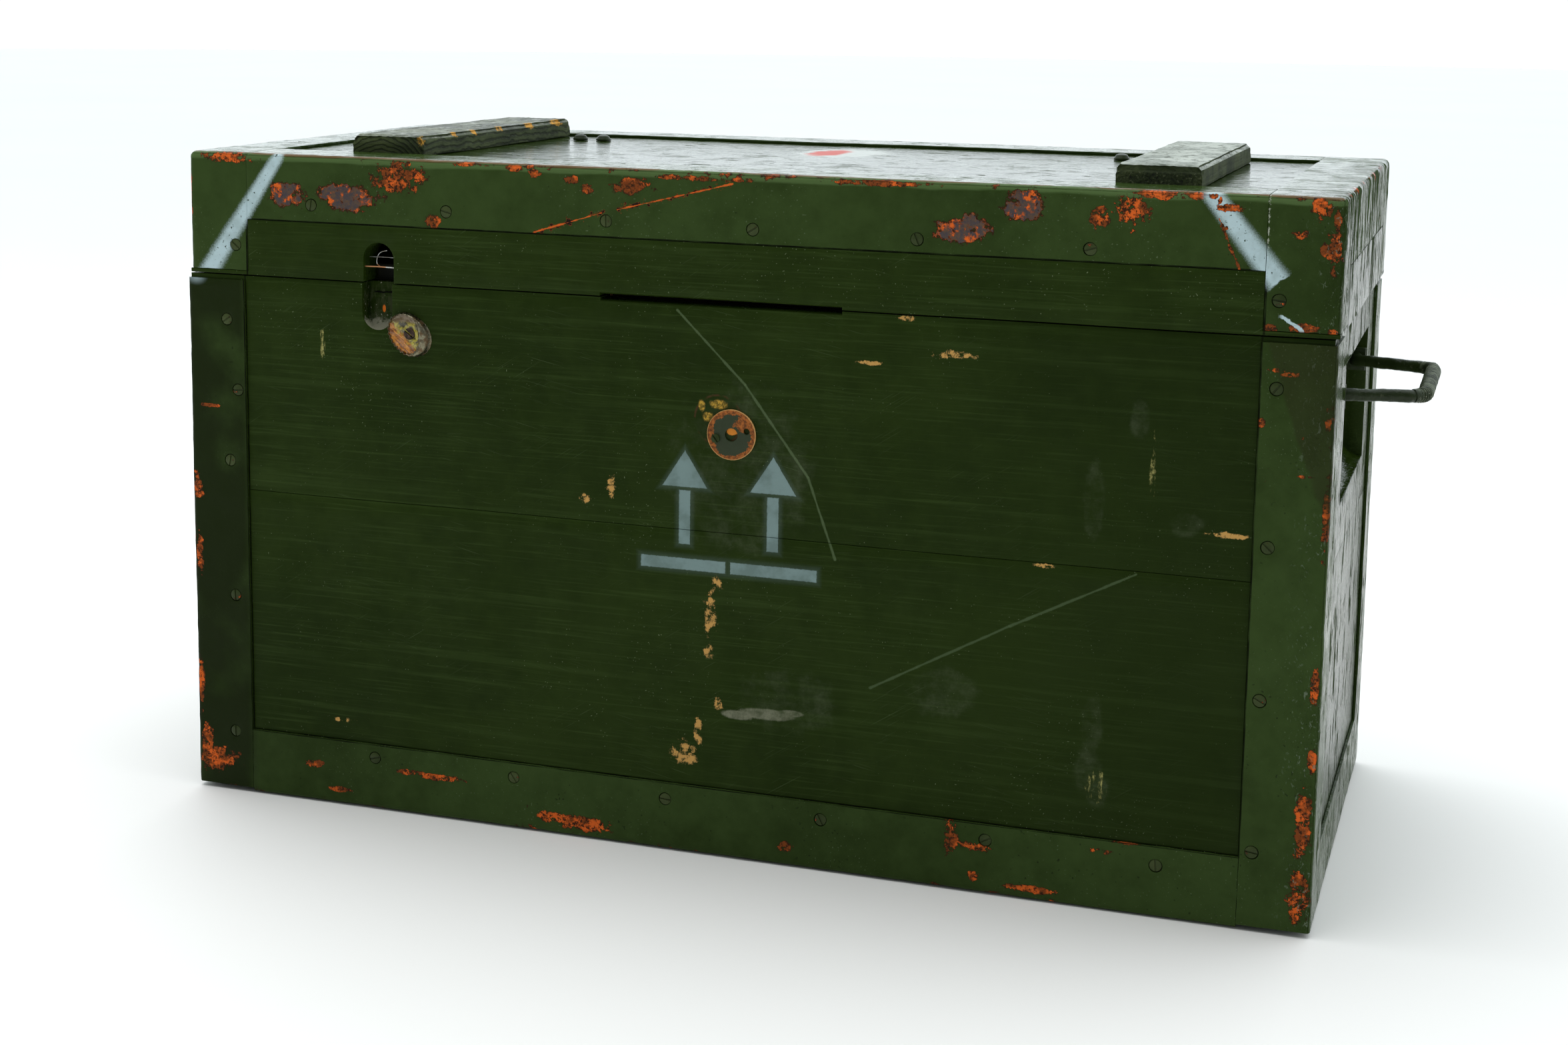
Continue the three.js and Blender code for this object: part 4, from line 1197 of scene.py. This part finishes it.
# ---- small parts -------------------------------------------------------------------------
def batten_shape(side):
    """Grooves along the grain, worn corners and rough ends, as a move for each point."""
    low, high = extent(f"batten_{side}")
    middle = (low + high) / 2

    def shape(point, normal):
        p = point / MM
        fibre = noise.noise(Vector((p.x / 2.2, p.y / 70, p.z / 2.2 + 9)))
        rough = noise.noise(p / 2.6)
        slow = noise.fractal(p / 26, 1.0, 2.0, 3)
        at_end = min(p.y - low.y, high.y - p.y) < 1.5
        corner = sum(
            1 for k in range(3) if min(p[k] - low[k], high[k] - p[k]) < 3
        ) >= 2 and p.z > middle.z
        rise = 0.32 * fibre + 0.35 * slow + (0.7 * rough if at_end else 0.1 * rough)
        if corner:
            rise -= 0.9 + 1.3 * abs(slow)
        return normal * rise * MM
    return shape


def bolt_shape(node):
    """Turns a domed head into the low flat-topped cone that hammering leaves."""
    low, high = extent(node)
    middle = (low + high) / 2
    seat = LID_TOP - 2

    def shape(point, normal):
        p = point / MM
        rise = p.z - seat
        if rise < 0:
            return Vector()
        across = Vector((p.x - middle.x, p.y - middle.y, 0))
        reach = 0.85 * across.length
        flat = min(4.9, 1.2 + (6.6 - reach) * 1.5) if rise > 1.6 else rise * 0.8
        return (across * -0.15 + Vector((0, 0, flat - rise))) * MM
    return shape


def thinner(point, normal):
    """Play for a hinge pin, as a move for each point."""
    return normal * -PIN_PLAY * MM


def lumpy(mesh, amount, size):
    """Moves a mesh's points in and out by smooth noise."""
    work = bmesh.new()
    work.from_mesh(mesh)
    work.normal_update()
    move_all(work, [lump_at(vert, amount, size) for vert in work.verts])
    work.to_mesh(mesh)
    work.free()
    return mesh


GRIP_BEND, ROOT_BEND = 18, 6
WIRE = {"radius": 0.85, "pitch": 2.1, "steps": 14, "sides": 6}


def bail_path(side):
    """The handle rod's centreline, taken from its CAD solid's box."""
    low, high = extent(f"handle_bail_{side}")
    sign = -1 if side == "left" else 1
    rod = (high.z - low.z) / 2
    pivot_z, tip, far = (low.z + high.z) / 2, high.y, (high.x if sign > 0 else -low.x) - rod
    near = (low.x if sign > 0 else -high.x) + rod
    root, grip = tip - 13, tip - 30
    half = [(near, tip), (near, root), (far, grip)]
    corners = [Vector((x, -y, 0)) for x, y in half] + [Vector((x, y, 0)) for x, y in reversed(half)]
    path = rounded_path(corners, (ROOT_BEND, GRIP_BEND, GRIP_BEND, ROOT_BEND), 2.0)
    placed = [Vector((sign * p.x, sign * p.y, pivot_z)) for p in path]
    return placed, rod


def along(path, reach):
    """The point a given distance along a path, and the direction there."""
    for first, second in zip(path, path[1:]):
        run = (second - first).length
        if reach <= run:
            return first.lerp(second, reach / run), (second - first).normalized()
        reach -= run
    return path[-1], (path[-1] - path[-2]).normalized()


def make_handle(side, coat, winding):
    """A painted rod bail whose grip and corners are wound with wire."""
    path, rod = bail_path(side)
    builder = Builder()
    builder.tube(path, rod - ROD_PLAY, 18)
    bail = lumpy(builder.mesh(), 0.55, 9)
    add_piece(f"handle_rod_{side}", bail, coat, f"handle_{side}", "handle_steel", f"handle_bail_{side}")
    length = sum((b - a).length for a, b in zip(path, path[1:]))
    grip = [p for p in path if abs(p.x) > max(abs(q.x) for q in path) - GRIP_BEND + 10]
    wound = sum((b - a).length for a, b in zip(grip, grip[1:]))
    start = (length - wound) / 2
    turns = wound / WIRE["pitch"]
    count = int(turns * WIRE["steps"])
    helix = []
    for k in range(count + 1):
        reach = start + wound * k / count
        jitter = 0.5 * noise.noise(Vector((reach / 5, 3.1, 0)))
        point, ahead = along(path, reach + jitter)
        side_way = ahead.cross(Vector((0, 0, 1))).normalized()
        angle = 2 * math.pi * turns * k / count
        sink = max(0.0, 1 - min(reach - start, start + wound - reach) / 9)
        out = rod + 0.05 - 0.8 * sink + 0.25 * noise.noise(Vector((reach / 4, 0, 7)))
        helix.append(point + (side_way * math.cos(angle) + Vector((0, 0, 1)) * math.sin(angle)) * out)
    coil = Builder()
    coil.tube(helix, WIRE["radius"], WIRE["sides"])
    sleeve = [along(path, start + wound * k / 60)[0] for k in range(61)]
    coil.tube(sleeve, rod + 0.15, 16)
    mesh = lumpy(coil.mesh(sharp=60), 0.35, 5)
    add_piece(f"handle_winding_{side}", mesh, winding, f"handle_{side}", "handle_wrap", f"handle_wrap_{side}")


def make_disc_screw(material):
    low, high = extent("disc_screw")
    builder = Builder()
    centre = Vector(((low.x + high.x) / 2, low.y + 0.6, (low.z + high.z) / 2))
    slotted_head(builder, centre, FRONT, math.radians(-52), (high.x - low.x) / 2, 0.5)
    add_piece("disc_screw_slotted", builder.mesh(sharp=50), material,
              body_of("disc_screw"), SLOTS["disc_screw"], "disc_screw")


SEAL = {"teeth": 26, "rings": 14, "turn": 182, "shift": (-1.2, 0.8)}


def seal_outline(angle):
    """Radius of the crushed cup: long to lower right and upper left, toothed at lower left."""
    base = 16.6 + 1.9 * math.cos(2 * (angle - math.radians(137))) + 0.6 * math.cos(angle + 0.17)
    toothed = 0.12 + 0.88 * max(0.0, math.cos(angle - math.radians(215))) ** 0.5
    point = abs(((SEAL["teeth"] * angle / (2 * math.pi)) % 1) - 0.5) * 4 - 1
    return base + 0.7 * toothed * point


def make_seal(tinplate, amber, dark):
    """A crumpled scalloped tin cup filled with streaked resin, round a slotted screw."""
    low, high = extent("seal_cup")
    middle = (low + high) / 2 + Vector((SEAL["shift"][0], 0, SEAL["shift"][1]))
    back = high.y
    turn = circle(SEAL["turn"])

    def at(angle, reach, out):
        crumple = noise.noise(Vector((reach * math.cos(angle), reach * math.sin(angle), out)) / 3.5)
        push = 0.5 * crumple if out > 1 else 0
        return (middle.x + reach * math.cos(angle), back - out - push, middle.z + reach * math.sin(angle))

    def tin_reach(angle, inset):
        fold = 6.5 * max(0.0, math.cos(angle + math.radians(12))) ** 2
        return seal_outline(angle) - inset * (1.2 + fold)

    cup = Builder()
    profile = ((-0.2, 0.0), (0.0, 1.6), (0.05, 3.2), (0.25, 4.6), (0.6, 5.0), (1.0, 4.3), (1.1, 3.2), (1.15, 1.6))
    rings = [cup.ring([at(a, tin_reach(a, inset), out) for a in turn]) for inset, out in profile]
    cup.skin(rings)
    add_piece("seal_cup_crumpled", cup.mesh(sharp=60), tinplate,
              body_of("seal_cup"), "seal_tin", "seal_cup")
    fill = Builder()
    rings = []
    for k in range(SEAL["rings"] + 1):
        share = 1 - k / SEAL["rings"] * 0.97
        ripple = [
            3.4 + 0.7 * noise.noise(Vector((8 * share * math.cos(a), 16 * share * math.sin(a), 2)) / 3) for a in turn
        ]
        rings.append(fill.ring([at(a, tin_reach(a, 1.0) * share, h) for a, h in zip(turn, ripple)]))
    base = fill.ring([at(a, tin_reach(a, 1.0), 0.8) for a in turn])
    fill.skin([base, *rings])
    add_piece("seal_resin", fill.mesh(sharp=60), amber, body_of("seal_cup"), "seal_resin")
    head = Builder()
    centre = Vector((middle.x + 2.2, back - 3.6, middle.z + 0.8))
    slotted_head(head, centre, FRONT, math.radians(-40), 4.6, 0.9)
    add_piece("seal_screw", head.mesh(sharp=50), dark, body_of("seal_cup"), "dark_steel")


def make_latch_wire(material):
    """A bent end of sealing wire in the slot, and two strands across it."""
    strands = (
        (0.35, ((4, -191, 451.5), (-1, -192, 450), (-4.5, -191, 446), (-5.5, -190, 441), (-4, -188, 438.5))),
        (0.22, ((-11.5, -191.5, 446), (2, -192, 446.3), (14.2, -191.5, 446))),
        (0.5, ((-11.5, -198.6, 439.3), (2, -198.9, 439.5), (14.2, -198.6, 439.2))),
    )
    builder = Builder()
    for radius, points in strands:
        builder.tube(smooth_path([Vector((LATCH_X + x, y, z)) for x, y, z in points], 6), radius, 8)
    add_piece("latch_wire", builder.mesh(), material, "lid", "seal_tin")


def smooth_path(points, count):
    """Catmull-Rom points through a few chosen ones."""
    padded = [points[0], *points, points[-1]]
    made = []
    for a, b, c, d in zip(padded, padded[1:], padded[2:], padded[3:]):
        for k in range(count):
            t = k / count
            made.append(0.5 * (2 * b + (c - a) * t + (2 * a - 5 * b + 4 * c - d) * t ** 2
                               + (3 * b - a - 3 * c + d) * t ** 3))
    return made + [points[-1]]


# ---- studio ------------------------------------------------------------------------------
def add_floor():
    """A wide pale floor, as a disc of rings."""
    builder = Builder()
    rings = []
    for radius in (400, 1200, 3000, 8000, 20000):
        rings.append(builder.ring([(radius * math.cos(a), radius * math.sin(a), -1) for a in circle(64)]))
    builder.cap(rings[0])
    builder.skin(rings, capped=False)
    f = Finish("floor_paint", (244, 242, 238), 0.6, specular=0.2)
    f.colour = f.blend(f.noise(900, 3), (247, 244, 240), (242, 240, 236))
    floor = placed("floor", builder.mesh())
    floor.data.materials.append(f.done())


# Linear light, as lists so that they aren't read as screen colours.
ROOM_TINT, BACKDROP_TINT, BACKDROP_LIGHT = [0.89, 0.96, 1.0, 1.0], [0.98, 0.99, 1.0, 1.0], 1.06
# How far back (Y of a direction) the room starts and stops growing brighter, then its light there.
ROOM_RISE = (-0.5, 0.3, 0.3, 1.72)
LIGHT = {"at": (-0.5, -0.5, 3.0), "target": (0, 0, 0.2), "size": 2.6, "power": 44}


def add_studio():
    """A pale room, brighter behind and beside the chest than in front of it."""
    world = bpy.data.worlds.new("studio")
    g = Graph(world)
    place = g.node("ShaderNodeTexCoord").outputs["Generated"]
    seen = g.node("ShaderNodeLightPath").outputs["Is Camera Ray"]
    back = g.node("ShaderNodeBackground")
    g.wire(back.inputs["Color"], g.blend(seen, ROOM_TINT, BACKDROP_TINT))
    g.wire(back.inputs["Strength"], g.mix(seen, g.ramp(g.parts(place)[1], *ROOM_RISE), BACKDROP_LIGHT))
    g.wire(g.node("ShaderNodeOutputWorld").inputs[0], back.outputs[0])
    bpy.context.scene.world = world
    data = bpy.data.lights.new("overhead", "AREA")
    data.shape, data.size, data.energy = "SQUARE", LIGHT["size"], LIGHT["power"]
    light = placed("overhead", data)
    light.location = LIGHT["at"]
    light.rotation_euler = (Vector(LIGHT["at"]) - Vector(LIGHT["target"])).to_track_quat("Z", "Y").to_euler()
    bpy.context.scene.view_settings.view_transform = "Standard"


# ---- making ------------------------------------------------------------------------------
add_camera()
add_floor()
add_studio()


def steel_material_for():
    front_body = chest_steel("body_front_steel", "body", front_patches(BODY_Y, *BODY_RUST)).done()
    plain_body = chest_steel("body_steel", "body", worn=0.02).done()
    lid = chest_steel("lid_front_steel", "lid", front_patches(LID_Y, *LID_RUST), front_patches(LID_Y, *LID_BARE))
    spray_stripes(lid)
    front_lid = lid.done()
    plain_lid = chest_steel("lid_steel", "lid", worn=0.02).done()

    def choose(node):
        if node.startswith("lid"):
            return front_lid if "front" in node else plain_lid
        return front_body if "front" in node else plain_body
    return choose


def board_materials():
    top = chest_wood("top_wood", 0, "lid")
    top_mark(top)
    sides = chest_wood("side_wood", 1, "body").done()
    back = chest_wood("back_wood", 0, "body").done()
    body_front, lid_front, lid_top = front_wood("body").done(), front_wood("lid").done(), top.done()
    chosen = {"lid_front_board": lid_front, "lid_back_board": back, "lid_top_panel": lid_top}
    chosen |= {f"front_{half}_board": body_front for half in ("upper", "lower")}
    chosen |= {f"back_{half}_board": back for half in ("upper", "lower")}
    chosen |= {f"{hand}_{half}_board": sides for hand in ("left", "right") for half in ("upper", "lower")}
    chosen |= {f"lid_{hand}_board": sides for hand in ("left", "right")}
    return chosen


screw_paint = simple_paint("screw_paint", (34, 46, 16), (66, 76, 42), 0.6, 0.37)
steel_with_screws(steel_material_for(), screw_paint)
for node, material in board_materials().items():
    worn_copy(node, material, 14, bevel=0.6)

iron = dark_iron()
pine = raw_wood()
lip = lip_paint()
coat, winding = handle_coat(), winding_coat()
hinge_paint = simple_paint("hinge_paint", (28, 38, 16), (46, 58, 30), 0.8, 0.36)
tinplate = tin()

for side in ("left", "right"):
    worn_copy(f"batten_{side}", batten_paint(side), 2.6, bevel=1.0, shape=batten_shape(side))
    make_handle(side, coat, winding)
    worn_copy(f"handle_bracket_{side}", coat, 6, bevel=0.5, lump=0.1)
    for leaf in ("lower", "upper"):
        worn_copy(f"hinge_{leaf}_leaf_{side}", hinge_paint, 8, bevel=0.3)
    worn_copy(f"hinge_pin_{side}", hinge_paint, 0, bevel=0.3, shape=thinner)
    for number in (1, 2):
        bolt = f"hinge_bolt_{side}_{number}"
        worn_copy(bolt, hinge_paint, 0, bevel=0.3, shape=bolt_shape(bolt))
for node in ("front_lip", "back_lip", "left_lip", "right_lip"):
    worn_copy(node, lip, 12, bevel=0.8)
worn_copy("bottom_panel", pine, 20, bevel=0.8)
for node in ("lock_plate", "lock_hook", "lock_keeper"):
    worn_copy(node, iron, 4, bevel=0.3, lump=0.06)
worn_copy("escutcheon_disc", disc_rust(), (1.5, 0, 1.5), bevel=0.25, lump=0.12, lump_size=5)
make_disc_screw(screw_paint)
make_seal(tinplate, resin(), iron)
make_latch_wire(wire_metal())
